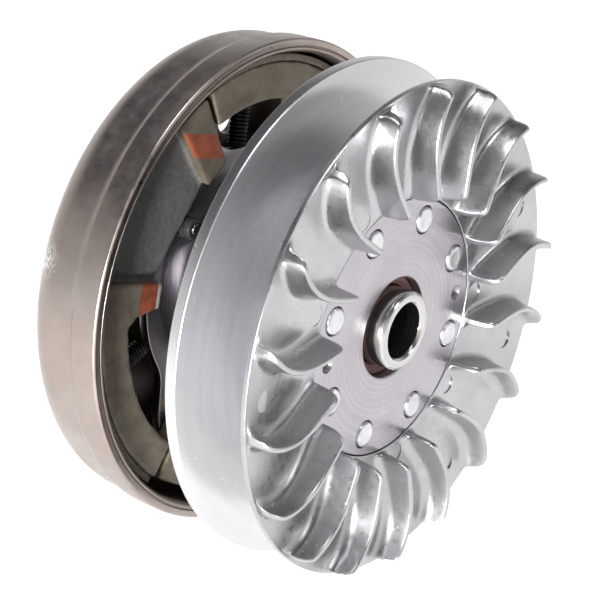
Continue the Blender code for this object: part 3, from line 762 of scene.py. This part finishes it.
def thread_tap(radius, pitch, depth, front, back):
    """A screw thread as a closed mesh that cuts one into a hole."""
    sides = 30
    per_pitch = 6
    rings = []
    count = int((back - front) / pitch * per_pitch)
    for i in range(count + 1):
        y = front + (back - front) * i / count
        rings.append([])
        for k in range(sides):
            phase = (i / per_pitch - k / sides) % 1.0
            rings[-1].append(polar(radius - depth * abs(2 * phase - 1), TURN * k / sides, y))
    return skin("tap", rings, "capped")


def thread(radius, start, end):
    """Corners of a threaded stretch of an outline, seen as plain rings."""
    pitch = 1.2
    depth = 0.6
    count = int((end - start) / pitch)
    step = (end - start) / count
    corners = []
    for turn in range(count):
        corners += [(radius - depth, start + step * turn, 0.0), (radius, start + step * (turn + 0.5), 0.15)]
    return corners + [(radius - depth, end, 0.0)]


def hub():
    flange_r, front, back = span("fixed_hub")
    flange_back = front + FLANGE_THICK
    tube_r = 19.0
    thread_r = 17.8
    bore_r = 13.0
    seat_r = 15.6
    seat_end = 14.6
    shoulder_y = 52.7
    bearing_front = span("bearing_outer_ring")[1] - 0.3
    bearing_seat = 15.3
    _, clip_front, clip_back = span("bearing_circlip")
    groove_r = bearing_seat + 1.2
    groove_front = clip_front - 0.15
    groove_back = clip_back + 0.15
    mesh = lathe("hub", rounded([
        (flange_r, front, 0.4), (flange_r, flange_back, 0.3), (tube_r, flange_back, 0.6),
        (tube_r, shoulder_y, 0.5), *thread(thread_r, shoulder_y + 1.0, back - 1.0),
        (thread_r - 0.9, back, 0.2), (bearing_seat, back, 0.4), (bearing_seat, groove_back, 0.1),
        (groove_r, groove_back, 0.1), (groove_r, groove_front, 0.1), (bearing_seat, groove_front, 0.1),
        (bearing_seat, bearing_front, 0.3), (bore_r, bearing_front, 0.4), (bore_r, seat_end, 0.4),
        (seat_r, seat_end, 0.3), (seat_r, front, 0.9),
    ]))
    countersunk = lathe("hole", [
        (0.0, front - 1.0), (RIVET_HOLE_R + 1.0, front - 1.0), (RIVET_HOLE_R, front + 0.35),
        (RIVET_HOLE_R, flange_back + 1.0), (0.0, flange_back + 1.0),
    ], SMALL)
    tap = thread_tap(PULLER_R + 0.1, 0.8, 0.4, front - 0.5, flange_back + 0.5)
    pin_hole = lathe("hole", pin_outline(PIN_R + 0.25, bore_r - 2.0, tube_r + 2.0, 0.0), SMALL)
    cutters = at_rivets(countersunk) + ring_of(tap, 2, PULLER_CIRCLE_R, PULLER_ANGLE)
    cutters += [radial(pin_hole, *place) for place in guide_places()]
    piece("hub_and_flange", cut(mesh, cutters), "fixed_half", STEEL, "fixed_hub")


def guide_places():
    """Angle and place along the axis of each guide pin."""
    places = []
    for number in range(1, 4):
        _, angle, front, back = middle(f"guide_pin_{number}")
        places.append((angle, (front + back) / 2))
    return places


def radial(mesh, angle, y):
    """Lay a mesh made along Y on the radius at this angle."""
    made = mesh.copy()
    lay = Matrix.Rotation(-angle, 4, "Y") @ Matrix.Rotation(-math.pi / 2, 4, "Z")
    made.transform(Matrix.Translation((0.0, y * MM, 0.0)) @ lay)
    return made


def guide_pins():
    """Pins with a small centre at the foot and a deeper one at the head."""
    foot = 13.6
    head = 22.0
    for number, (angle, y) in enumerate(guide_places(), 1):
        pin = lathe("pin", rounded([
            (0.0, foot + 0.3, 0.0), (0.9, foot, 0.2), (PIN_R, foot, 0.5), (PIN_R, head, 0.6),
            (1.3, head, 0.2), (0.0, head - 1.0, 0.0),
        ]), SMALL)
        piece(f"cam_pin_{number}", radial(pin, angle, y), "fixed_half", GROUND, f"guide_pin_{number}")


def rivets():
    for number in range(1, RIVETS + 1):
        node = f"sheave_rivet_{number}"
        circle_r, angle, front, back = middle(node)
        outline = rounded([
            (0.0, front + 0.15, 0.0), (1.6, front + 0.12, 0.5), (RIVET_R - 1.2, front, 0.6),
            (RIVET_R - 0.4, front + 0.1, 0.3), (RIVET_R, front + 0.9, 0.5), (RIVET_R, back, 0.4),
            (0.0, back, 0.0),
        ])
        mesh = moved(lathe(node, outline, SMALL), circle_r, angle)
        piece(f"rivet_head_{number}", mesh, "fixed_half", RIVET, node)


def shaft_sleeve():
    outer, front, back = span("inner_sleeve")
    bore = 8.5
    mesh = lathe("sleeve", rounded([
        (outer, back, 0.5), (outer, front + 0.9, 0.25), (outer - 0.9, front, 0.25),
        (bore + 0.8, front, 0.2), (bore, front + 0.8, 0.2), (bore, back, 0.5),
    ]), FINE * 2)
    piece("shaft_sleeve", mesh, "shaft_side", GROUND, "inner_sleeve")
    outer, front, back = span("hub_oil_seal")
    inner = 12.35
    lip = lathe("seal", rounded([
        (outer, front, 0.3), (outer, back, 0.3), (inner + 1.0, back, 0.3), (inner, back - 1.0, 0.3),
        (inner, front + 1.4, 0.2), (inner + 0.5, front + 0.5, 0.3), (inner + 1.1, front + 0.5, 0.3),
        (inner + 1.5, front, 0.3),
    ]), FINE * 2)
    piece("oil_seal_lip", lip, "fixed_half", SEAL, "hub_oil_seal")


# Moving sheave and what slides with it

def moving_sheave():
    outer, _, back = span("moving_sheave")
    bore = 22.6
    boss_r = 31.0
    boss_end = 7.0
    mesh = lathe("moving", rounded([
        (outer, groove_face(outer), 0.35), (FLAT_R, FACE_GAP, 1.0), (bore, FACE_GAP, 0.5),
        (bore, boss_end, 0.5), (boss_r, boss_end, 0.6), (boss_r + 2.0, 4.6, 1.5), (outer - 5.0, 13.9, 1.5),
        (outer - 2.5, back, 0.8), (outer, back, 0.4),
    ], steps=5), SIDES + FINE)
    piece("moving_face", mesh, "moving_half", TURNED, "moving_sheave")


def collar_and_sleeve():
    flange_r, front, back = span("seal_collar")
    bore = 23.5
    outer = 25.0
    seat_y = front + 1.5
    lip_r = flange_r - 1.2
    lip_y = front + 5.0
    mesh = lathe("collar", rounded([
        (bore, front, 0.3), (flange_r, front, 0.5), (flange_r, lip_y, 0.4), (lip_r, lip_y, 0.4),
        (lip_r, seat_y, 0.6), (outer, seat_y, 0.8), (outer, back, 0.6), (bore, back, 0.4),
    ]), FINE * 2)
    piece("spring_seat_collar", mesh, "moving_half", STEEL, "seal_collar")
    outer, front, back = span("slip_washer")
    washer_bore = 25.4
    washer = lathe("washer", ring_outline(washer_bore, outer, front, back, 0.3), FINE * 2)
    piece("spring_slip_washer", washer, "spring_seat", STEEL, "slip_washer")


def cam_slot(radius, angle, pin_y):
    """Cutter for a slot with round ends, along the helix that a guide pin follows."""
    slot_r = 3.8
    reach = 4.2 + slot_r
    length = TRAVEL / math.cos(CAM_ANGLE) + 2 * reach
    steps = 40
    points = []
    radii = []
    for i in range(steps + 1):
        back_off = (-reach + length * i / steps) * math.cos(CAM_ANGLE)
        points.append(polar(radius, angle + back_off * CAM_TURN, pin_y - back_off))
        inset = min(i, steps - i) / steps * length
        short = max(0.0, 1.0 - inset / slot_r)
        radii.append(max(0.05, slot_r * math.sqrt(1.0 - short * short)))
    return tube("slot", points, radii, 24)


def sliding_sleeve():
    """Sleeve with two ring grooves and three slanted slots that climb the guide pins."""
    outer, front, back = span("sliding_sleeve")
    bore = 19.3
    depth = 1.3
    half = 1.3
    ring_wire = 0.92
    corners = [(bore, front, 0.5), (outer, front, 0.4)]
    for number in (1, 2):
        ring_r, ring_front, ring_back = span(f"o_ring_{number}")
        y = (ring_front + ring_back) / 2
        corners += [(outer, y - half, 0.2), (outer - depth, y - half, 0.3),
                    (outer - depth, y + half, 0.3), (outer, y + half, 0.2)]
        outline = arc((ring_r - ring_wire, y), ring_wire, 0, 345, 23)
        piece(f"rubber_ring_{number}", lathe("ring", outline, FINE * 2), "moving_half", RUBBER,
              f"o_ring_{number}")
    mesh = lathe("sleeve", rounded(corners + [(outer, back, 0.5), (bore, back, 0.6)]), FINE * 2)
    slots = [cam_slot((bore + outer) / 2, angle, pin_y) for angle, pin_y in guide_places()]
    piece("cam_sleeve", cut(mesh, slots), "moving_half", STEEL, "sliding_sleeve")


def coil_spring():
    """The main spring, with closed and ground ends."""
    _, low, high = span("main_spring")
    wire = 2.25
    coil_r = 29.5
    turns = 5.0
    per_turn = 56
    closed = 0.6
    pitch_end = 2 * wire + 0.3
    rise = high - low - 2 * wire - 2 * pitch_end
    points = []
    steps = int(turns * per_turn)
    for i in range(steps + 1):
        turn = i / per_turn
        climbed = max(0.0, min(1.0, (turn - closed) / (turns - 2 * closed)))
        ends = min(turn, closed) / closed + max(0.0, turn - turns + closed) / closed
        y = low + wire + pitch_end * ends + rise * climbed
        points.append(polar(coil_r, TURN * turn, y))
    mesh = tube("spring", points, [wire] * len(points), 16)
    obj = piece("coil_spring", mesh, "fixed_half", SPRING, "main_spring")
    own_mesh(obj)


# Clutch: shoes, carrier plate and bearings

SHOES = 3
PIVOT_HOLE_R = 3.75
WEB_FRONT = 48.7
POST_CIRCLE_R = 36.0    # posts of the carrier plate, at these places past each pivot
DAMPER_PLACE = 23.0
SPRING_PLACE = 86.0
DAMPER_BORE_R = 2.0
PLATE_FRONT = 53.0


def pivot(number):
    """Distance from the axis and angle of a shoe's pivot."""
    return middle(f"pivot_pin_{number}")[:2]


def local(degrees_off, radius):
    """A point (x, z) of the first shoe, by its place past the pivot in degrees."""
    angle = pivot(1)[1] + degrees_off * DEGREE
    return xz(radius, angle)


def sweep(radius, start, end, steps):
    return [local(start + (end - start) * i / steps, radius) for i in range(steps + 1)]


def shoe_mesh():
    """One shoe: a deep arc with its start block, a thin web and the pivot block."""
    _, front, back = span("clutch_shoe_1")
    outer = 68.9
    inner = 57.5
    block_r = 44.5
    start = 49.0
    end = 113.5
    block_end = 59.0
    body = plate("shoe", [
        [local(start, block_r)] + sweep(outer, start, end, 40) + sweep(inner, end, block_end + 3.5, 32)
        + sweep(inner - 2.5, block_end + 2.0, block_end + 1.0, 2) + [local(block_end, block_r)],
    ], front, back, 0.5)
    web_start = 5.2
    web_end = 52.0
    web_inner = 40.2
    web_back = 52.5
    edge = [local(place, web_inner / math.cos((place - DAMPER_PLACE) * DEGREE))
            for place in (39.0, 30.0, 15.0, web_start)]
    web = plate("web", [
        sweep(outer - 1.0, web_start, web_end, 24) + [local(web_end, block_r + 2.0)] + edge,
    ], WEB_FRONT, web_back, 0.4)
    lead = -6.0
    trail = 6.5
    lug = plate("lug", [
        [local(lead, block_r)] + sweep(outer - 0.6, lead + 1.5, trail, 8) + [local(trail, block_r - 1.0)],
    ], front, web_back + 0.2, 0.5)
    body = combined(combined(body, web, "UNION"), lug, "UNION")
    made = cast_skin(body, voxel=0.65, pits=0.13, grain=2.2)
    hole_bottom = 46.2
    bore = moved(lathe("bore", pin_outline(PIVOT_HOLE_R, hole_bottom, back, 0.2), SMALL), *pivot(1))
    made = combined(made, bore)
    paint_shoe(made, front)
    return made


def paint_shoe(mesh, front):
    """Mark where the casting is painted, where it is scraped bare and where the web is."""
    for name in ("paint", "bare", "web"):
        mesh.attributes.new(name, "FLOAT", "POINT")
    marks = mesh.attributes
    base = pivot(1)[1]
    soft = 0.8

    def within(value, centre, reach):
        """1 inside a stretch, fading to 0 at its ends."""
        return min(1.0, max(0.0, reach - abs(value - centre)) / soft)

    for i, vertex in enumerate(mesh.vertices):
        x, y, z = vertex.co / MM
        radius = math.hypot(x, z)
        place = math.degrees((math.atan2(z, x) - base) % TURN)
        place -= 360.0 * (place > 180.0)
        slanted = radius * math.cos((place + 38.5) * DEGREE)
        shallow = max(0.0, 1.0 - max(0.0, y - front - 0.5) / 1.2)
        block = within(slanted, 42.8, 4.2) * (place < 8.0)
        start = within(place, 54.0, 7.0) * (42.0 < radius < 54.0)
        scraped = min(1.0, max(0.0, 47.0 - radius)) * (49.0 < place < 62.0)
        marks["paint"].data[i].value = shallow * max(block, start * (1.0 - scraped)) * 0.75
        marks["bare"].data[i].value = shallow * scraped
        marks["web"].data[i].value = float(3.0 < y - front < 5.0 and 6.5 < place < 49.0)


def shoes():
    first = shoe_mesh()
    base = pivot(1)[1]
    _, front, back = span("shoe_lining_1")
    lining_r = 71.3
    backing_r = 69.2
    start = 52.0
    end = 112.0
    lining = plate("lining", [
        sweep(lining_r, start, end, 60) + sweep(backing_r, end, start, 60),
    ], front, back, 0.25)
    for number in range(1, SHOES + 1):
        swing = pivot(number)[1] - base
        body = f"shoe_{number}"
        piece(f"shoe_casting_{number}", turned_by(first, swing), body, SHOE, f"clutch_shoe_{number}")
        piece(f"friction_pad_{number}", turned_by(lining, swing), body, LINING, f"shoe_lining_{number}")


def ring_of_points(centre, radius, sides):
    return arc(centre, radius, 0.0, 360.0 - 360.0 / sides, sides - 1)


def pivots():
    """Each shoe's pin with its retaining clip, and the rubber damper beside it."""
    pin_r = 3.5
    neck_r = 3.0
    for number in range(1, SHOES + 1):
        circle_r, angle, front, back = middle(f"pivot_pin_{number}")
        _, _, clip_front, clip_back = middle(f"pivot_clip_{number}")
        neck_front = clip_front - 0.1
        neck_back = clip_back + 0.1
        pin = lathe("pin", rounded([
            (0.0, front, 0.0), (pin_r, front, 0.5), (pin_r, neck_front, 0.05), (neck_r, neck_front, 0.05),
            (neck_r, neck_back, 0.05), (pin_r, neck_back, 0.05), (pin_r, back, 0.7), (0.0, back, 0.0),
        ]), SMALL)
        piece(f"shoe_pin_{number}", moved(pin, circle_r, angle), "fixed_half", GROUND,
              f"pivot_pin_{number}")
        centre = xz(circle_r, angle)
        out = math.degrees(angle)
        clip_r = 6.2
        jaw_r = 4.6
        clip = plate("clip", [
            arc(centre, clip_r, out + 30, out + 330, 30) + arc(centre, jaw_r, out + 322, out + 300, 4)
            + arc(centre, neck_r + 0.1, out + 292, out + 68, 20) + arc(centre, jaw_r, out + 60, out + 38, 4),
        ], clip_front, clip_back, 0.12)
        piece(f"retaining_clip_{number}", clip, "fixed_half", SPRING, f"pivot_clip_{number}")
        circle_r, angle, front, back = middle(f"shoe_damper_{number}")
        rubber_r = 3.4
        waist_r = 3.0
        damper = lathe("damper", rounded([
            (DAMPER_BORE_R, front, 0.2), (rubber_r, front, 0.5), (rubber_r, front + 2.2, 0.3),
            (waist_r, front + 2.6, 0.3), (waist_r, back - 2.6, 0.3), (rubber_r, back - 2.2, 0.3),
            (rubber_r, back, 0.5), (DAMPER_BORE_R, back, 0.2),
        ]), SMALL)
        piece(f"rubber_damper_{number}", moved(damper, circle_r, angle), "fixed_half", RUBBER,
              f"shoe_damper_{number}")


def carrier():
    """Plate with a lobe for each pivot and a post for each damper and return spring."""
    _, post_front, post_back = span("carrier_plate")
    plate_back = span("carrier_nut")[1] - 0.3
    base = pivot(1)[1]
    plate_r = 41.0
    lobe_height = 15.0
    bore_r = 18.1
    steps = 180
    outline = []
    for i in range(steps):
        angle = TURN * i / steps
        lobe = max(0.0, math.cos(SHOES * (angle - base))) ** 4
        outline.append(xz(plate_r + lobe_height * lobe, angle))
    holes = [ring_of_points((0.0, 0.0), bore_r, FINE)]
    for number in range(1, SHOES + 1):
        circle_r, angle = pivot(number)
        holes.append(ring_of_points(xz(circle_r, angle), PIVOT_HOLE_R, SMALL))
    mesh = plate("carrier", [outline, *holes], PLATE_FRONT, plate_back, 0.35)
    damper_post = lathe("post", pin_outline(1.7, post_front, PLATE_FRONT + 1.0, 0.4), SMALL)
    spring_post = lathe("post", pin_outline(1.3, plate_back - 1.0, post_back, 0.4), SMALL)
    for number in range(1, SHOES + 1):
        angle = pivot(number)[1]
        for post, place in ((damper_post, DAMPER_PLACE), (spring_post, SPRING_PLACE)):
            mesh = combined(mesh, moved(post, POST_CIRCLE_R, angle + place * DEGREE), "UNION")
    piece("shoe_carrier", mesh, "fixed_half", STEEL, "carrier_plate")


def carrier_nut():
    """Hexagon whose corners are turned back, more at the outer face."""
    _, front, back = span("carrier_nut")
    flats = 46.0
    bore_r = 17.6
    corner_r = flats / 2 / math.cos(math.pi / 6)
    prism = plate("nut", [ring_of_points((0.0, 0.0), corner_r, 6)], front, back, 0.05)
    trim = lathe("trim", [
        (bore_r, front - 1.0), (corner_r - 1.2, front - 1.0), (corner_r + 1.0, front + 1.0),
        (corner_r + 1.0, back - 1.6), (corner_r - 3.4, back + 0.6), (bore_r, back + 0.6),
    ], FINE * 2)
    piece("hexagon_nut", combined(prism, trim, "INTERSECT"), "fixed_half", STEEL, "carrier_nut")


def return_springs():
    """Close-wound extension springs, hooked round a post of the carrier plate."""
    wire = 0.6
    coil_r = 2.4
    shoe_inner = 57.2
    turns = 13
    per_turn = 18
    _, low, high = span("return_spring_1")
    y = (low + high) / 2
    for number in range(1, SHOES + 1):
        angle = pivot(number)[1] + SPRING_PLACE * DEGREE
        along = polar(1.0, angle) / MM
        side = polar(1.0, angle + math.pi / 2) / MM
        axis_y = Vector((0.0, y, 0.0))
        hook_r = 2.0
        hook = [along * (POST_CIRCLE_R - hook_r * math.cos(a * DEGREE))
                + side * hook_r * math.sin(a * DEGREE) for a in range(-120, 160, 14)]
        start = POST_CIRCLE_R + 4.2
        end = start + turns * 2 * wire * 1.04
        points = [point + axis_y for point in hook]
        for i in range(turns * per_turn + 1):
            swing = TURN * i / per_turn
            around = side * math.cos(swing) + Vector((0.0, math.sin(swing), 0.0))
            out = start + (end - start) * i / (turns * per_turn)
            points.append(along * out + around * coil_r + axis_y)
        points.append(along * shoe_inner + side * coil_r + axis_y)
        mesh = tube("spring", [point * MM for point in points], [wire] * len(points), 10)
        piece(f"shoe_spring_{number}", mesh, "fixed_half", SPRING, f"return_spring_{number}")


def sphere(radius, y):
    quarter = 90
    return lathe("ball", [(radius * math.cos(a * DEGREE) if abs(a) < quarter else 0.0,
                           y + radius * math.sin(a * DEGREE)) for a in range(-quarter, quarter + 1, 15)], 24)


def ball_bearing():
    outer, front, back = span("bearing_outer_ring")
    y = (front + back) / 2
    circle_r = 11.8
    ball_r = 1.8
    groove_r = 2.05
    land = 1.4              # from the ball circle to either ring's land
    lean = math.degrees(math.acos(land / groove_r))
    inner_r = circle_r - land
    outer_r = circle_r + land
    bore_r = 8.5
    inner = lathe("inner", rounded([
        (inner_r, front, 0.3), (bore_r, front, 0.4), (bore_r, back, 0.4), (inner_r, back, 0.3),
        *plain(arc((circle_r, y), groove_r, 180 - lean, 180 + lean, 12)),
    ]), FINE * 2)
    piece("bearing_inner_race", inner, "shaft_side", GROUND, "bearing_inner_ring")
    race = lathe("outer", rounded([
        (outer_r, back, 0.3), (outer, back, 0.5), (outer, front, 0.5), (outer_r, front, 0.3),
        *plain(arc((circle_r, y), groove_r, -lean, lean, 12)),
    ]), FINE * 2)
    piece("bearing_outer_race", race, "fixed_half", GROUND, "bearing_outer_ring")
    count = 9
    ball = sphere(ball_r, y)
    pocket = sphere(ball_r + 0.15, y)
    cage = lathe("cage", ring_outline(circle_r - 0.8, circle_r + 0.8, y - 2.4, y + 2.4, 0.2), FINE * 2)
    cage = cut(cage, ring_of(pocket, count, circle_r))
    piece("balls_and_cage", joined("balls", ring_of(ball, count, circle_r) + [cage]), "ball_cage_ring",
          GROUND, "ball_cage")


def snap_ring():
    """Open ring with a plier hole in each lug."""
    _, front, back = span("bearing_circlip")
    start = 112
    end = 428
    lug = 10.0
    outer_r = 16.2
    inner_r = 14.2
    lug_r = 13.3
    hole_r = 0.7
    hole_circle_r = 14.6
    clip = plate("circlip", [
        arc((0, 0), outer_r, start, end, 60) + arc((0, 0), lug_r, end, end - lug, 4)
        + arc((0, 0), inner_r, end - lug - 2, start + lug + 2, 56)
        + arc((0, 0), lug_r, start + lug, start, 4),
        ring_of_points(xz(hole_circle_r, math.radians(start + lug / 2)), hole_r, 16),
        ring_of_points(xz(hole_circle_r, math.radians(end - lug / 2)), hole_r, 16),
    ], front, back, 0.12)
    piece("snap_ring", clip, "fixed_half", SPRING, "bearing_circlip")


def needle_bearing():
    outer, front, back = span("needle_bearing_shell")
    wall_r = outer - 0.7
    lip_r = 14.2
    shell = lathe("shell", rounded([
        (outer, front, 0.5), (lip_r, front, 0.1), (lip_r, front + 0.4, 0.1), (wall_r, front + 0.6, 0.3),
        (wall_r, back - 0.6, 0.3), (lip_r, back - 0.4, 0.1), (lip_r, back, 0.1), (outer, back, 0.5),
    ]), FINE * 2)
    piece("needle_shell", shell, "fixed_half", GROUND, "needle_bearing_shell")
    _, front, back = span("needle_cage")
    count = 14
    circle_r = 13.4
    needle_r = 1.0
    fit = 0.15
    needle = lathe("needle", pin_outline(needle_r, front + 0.9, back - 0.9, 0.3), 20)
    cage = lathe("cage", ring_outline(circle_r - 0.4, circle_r + 0.4, front, back, 0.15), FINE * 3)
    slot = lathe("slot", pin_outline(needle_r + fit, front + 0.9 - fit, back - 0.9 + fit, 0.1), 20)
    cage = cut(cage, ring_of(slot, count, circle_r))
    piece("needles_and_cage", joined("needles", ring_of(needle, count, circle_r) + [cage]),
          "needle_cage_ring", GROUND, "needle_cage")


# Clutch drum and its hub

def drum():
    outer, front, back = span("clutch_drum")
    bore = 72.5
    rear_r = 75.6
    band = 9.0
    shoulder = 11.0
    wall = 3.1
    hole_r = 22.3
    centre = (rear_r - shoulder, back - shoulder)
    step_y = front + band
    outline = rounded([
        (hole_r, back - wall, 0.4), (hole_r, back, 0.5), *plain(arc(centre, shoulder, 90, 0, 14)),
        (rear_r, step_y + 2.4, 1.2), (rear_r + 0.5, step_y + 0.7, 0.6), (outer, step_y, 0.5),
        (outer, front + 0.5, 0.25), (outer - 0.5, front, 0.25), (outer - 2.2, front, 0.15),
        (outer - 2.4, front + 0.9, 0.1), (outer - 2.7, front + 0.9, 0.1), (outer - 2.9, front + 0.1, 0.3),
        (outer - 3.6, front + 0.2, 0.35), (bore, front + 1.9, 0.4),
        *plain(arc(centre, shoulder - wall, 0, 90, 10)),
    ])
    vent_r = 4.5
    vent = lathe("vent", [
        (0.0, back - wall - 2.0), (vent_r, back - wall - 2.0), (vent_r, back - 0.5),
        (vent_r + 1.1, back + 0.6), (0.0, back + 0.6),
    ], SMALL)
    mesh = cut(lathe("drum", outline), ring_of(vent, 6, 46.0, 10.0 * DEGREE))
    piece("drum_shell", mesh, "shaft_side", DRUM, "clutch_drum")


def drum_hub():
    flange_r, front, end = span("drum_hub")
    outer = 22.0
    boss = 12.4
    bore = 7.5
    flange_front = 64.4
    flange_back = 67.3
    mesh = lathe("hub", rounded([
        (bore, front, 0.4), (boss, front, 0.8), (boss, flange_front, 1.0), (flange_r, flange_front, 0.5),
        (flange_r, flange_back, 0.3), (outer, flange_back, 0.4), (outer, end, 1.0), (bore, end, 0.8),
    ]), FINE * 2)
    splines = 18
    outline = []
    for tooth in range(splines):
        for share, radius in ((0.06, 8.0), (0.2, 8.85), (0.3, 8.95), (0.46, 8.95), (0.56, 8.85), (0.7, 8.0)):
            angle = (tooth + share) * TURN / splines
            outline.append(xz(radius, angle))
    broach = plate("broach", [outline], front - 2.0, end + 2.0, 0.05)
    piece("splined_hub", combined(mesh, broach), "shaft_side", STEEL, "drum_hub")


# Stage, light and camera

def floor():
    mesh = bpy.data.meshes.new("floor")
    half = 4.0
    z = CAD_BOX[0].z - 0.0005
    mesh.from_pydata([(-half, -half, z), (half, -half, z), (half, half, z), (-half, half, z)],
                     [], [(0, 1, 2, 3)])
    obj = bpy.data.objects.new("floor", mesh)
    bpy.context.scene.collection.objects.link(obj)
    made = Finish("floor_paper", (0.55, 0.55, 0.55), 0.9, 0.0)
    made.shader.inputs["Emission Color"].default_value = (1.0, 1.0, 1.0, 1.0)
    made.shader.inputs["Emission Strength"].default_value = 0.78
    mesh.materials.append(made.material)


def area_light(name, place, size, power):
    light = bpy.data.lights.new(name, "AREA")
    light.shape = "RECTANGLE"
    light.size, light.size_y = size
    light.energy = power
    obj = bpy.data.objects.new(name, light)
    obj.location = place
    obj.rotation_euler = (-Vector(place)).to_track_quat("-Z", "Y").to_euler()
    bpy.context.scene.collection.objects.link(obj)


def lights():
    """A room that is white towards the horizon and dim overhead, with three softboxes."""
    world = bpy.data.worlds.new("studio")
    bpy.context.scene.world = world
    world.use_nodes = True
    nodes = world.node_tree.nodes
    links = world.node_tree.links
    split = nodes.new("ShaderNodeSeparateXYZ")
    links.new(nodes.new("ShaderNodeTexCoord").outputs["Generated"], split.inputs[0])
    ramp = nodes.new("ShaderNodeValToRGB")
    links.new(split.outputs["Z"], ramp.inputs[0])
    low, high = ramp.color_ramp.elements
    low.position = 0.22
    low.color = (1.0, 1.0, 1.0, 1.0)
    high.position = 0.6
    high.color = (0.12, 0.12, 0.13, 1.0)
    links.new(ramp.outputs[0], nodes["Background"].inputs["Color"])
    nodes["Background"].inputs["Strength"].default_value = 0.75
    area_light("key", (-1.0, -0.28, 0.08), (0.16, 0.16), 20.0)
    area_light("top", (-0.1, 0.0, 1.1), (0.6, 0.35), 7.0)
    area_light("front", (0.35, -1.0, 0.6), (0.3, 0.5), 1.5)
    bpy.context.scene.view_settings.view_transform = "Standard"


def camera():
    data = bpy.data.cameras.new("camera")
    data.lens = 108.0
    data.sensor_width = 36.0
    obj = bpy.data.objects.new("camera", data)
    azimuth = math.radians(-52.71)
    elevation = math.radians(26.93)
    side = Vector((math.cos(azimuth), math.sin(azimuth), 0.0))
    back = Vector((math.sin(azimuth) * math.cos(elevation), -math.cos(azimuth) * math.cos(elevation),
                   math.sin(elevation)))
    up = back.cross(side)
    turn = Matrix((side, up, back)).transposed().to_4x4()
    obj.matrix_world = Matrix.Translation((-0.39246, -0.27203, 0.24902)) @ turn
    bpy.context.scene.collection.objects.link(obj)
    bpy.context.scene.camera = obj


camera()
floor()
lights()
fan_sheave()
hub()
rivets()
shaft_sleeve()
moving_sheave()
collar_and_sleeve()
coil_spring()
guide_pins()
sliding_sleeve()
shoes()
pivots()
carrier()
carrier_nut()
return_springs()
ball_bearing()
snap_ring()
needle_bearing()
drum()
drum_hub()
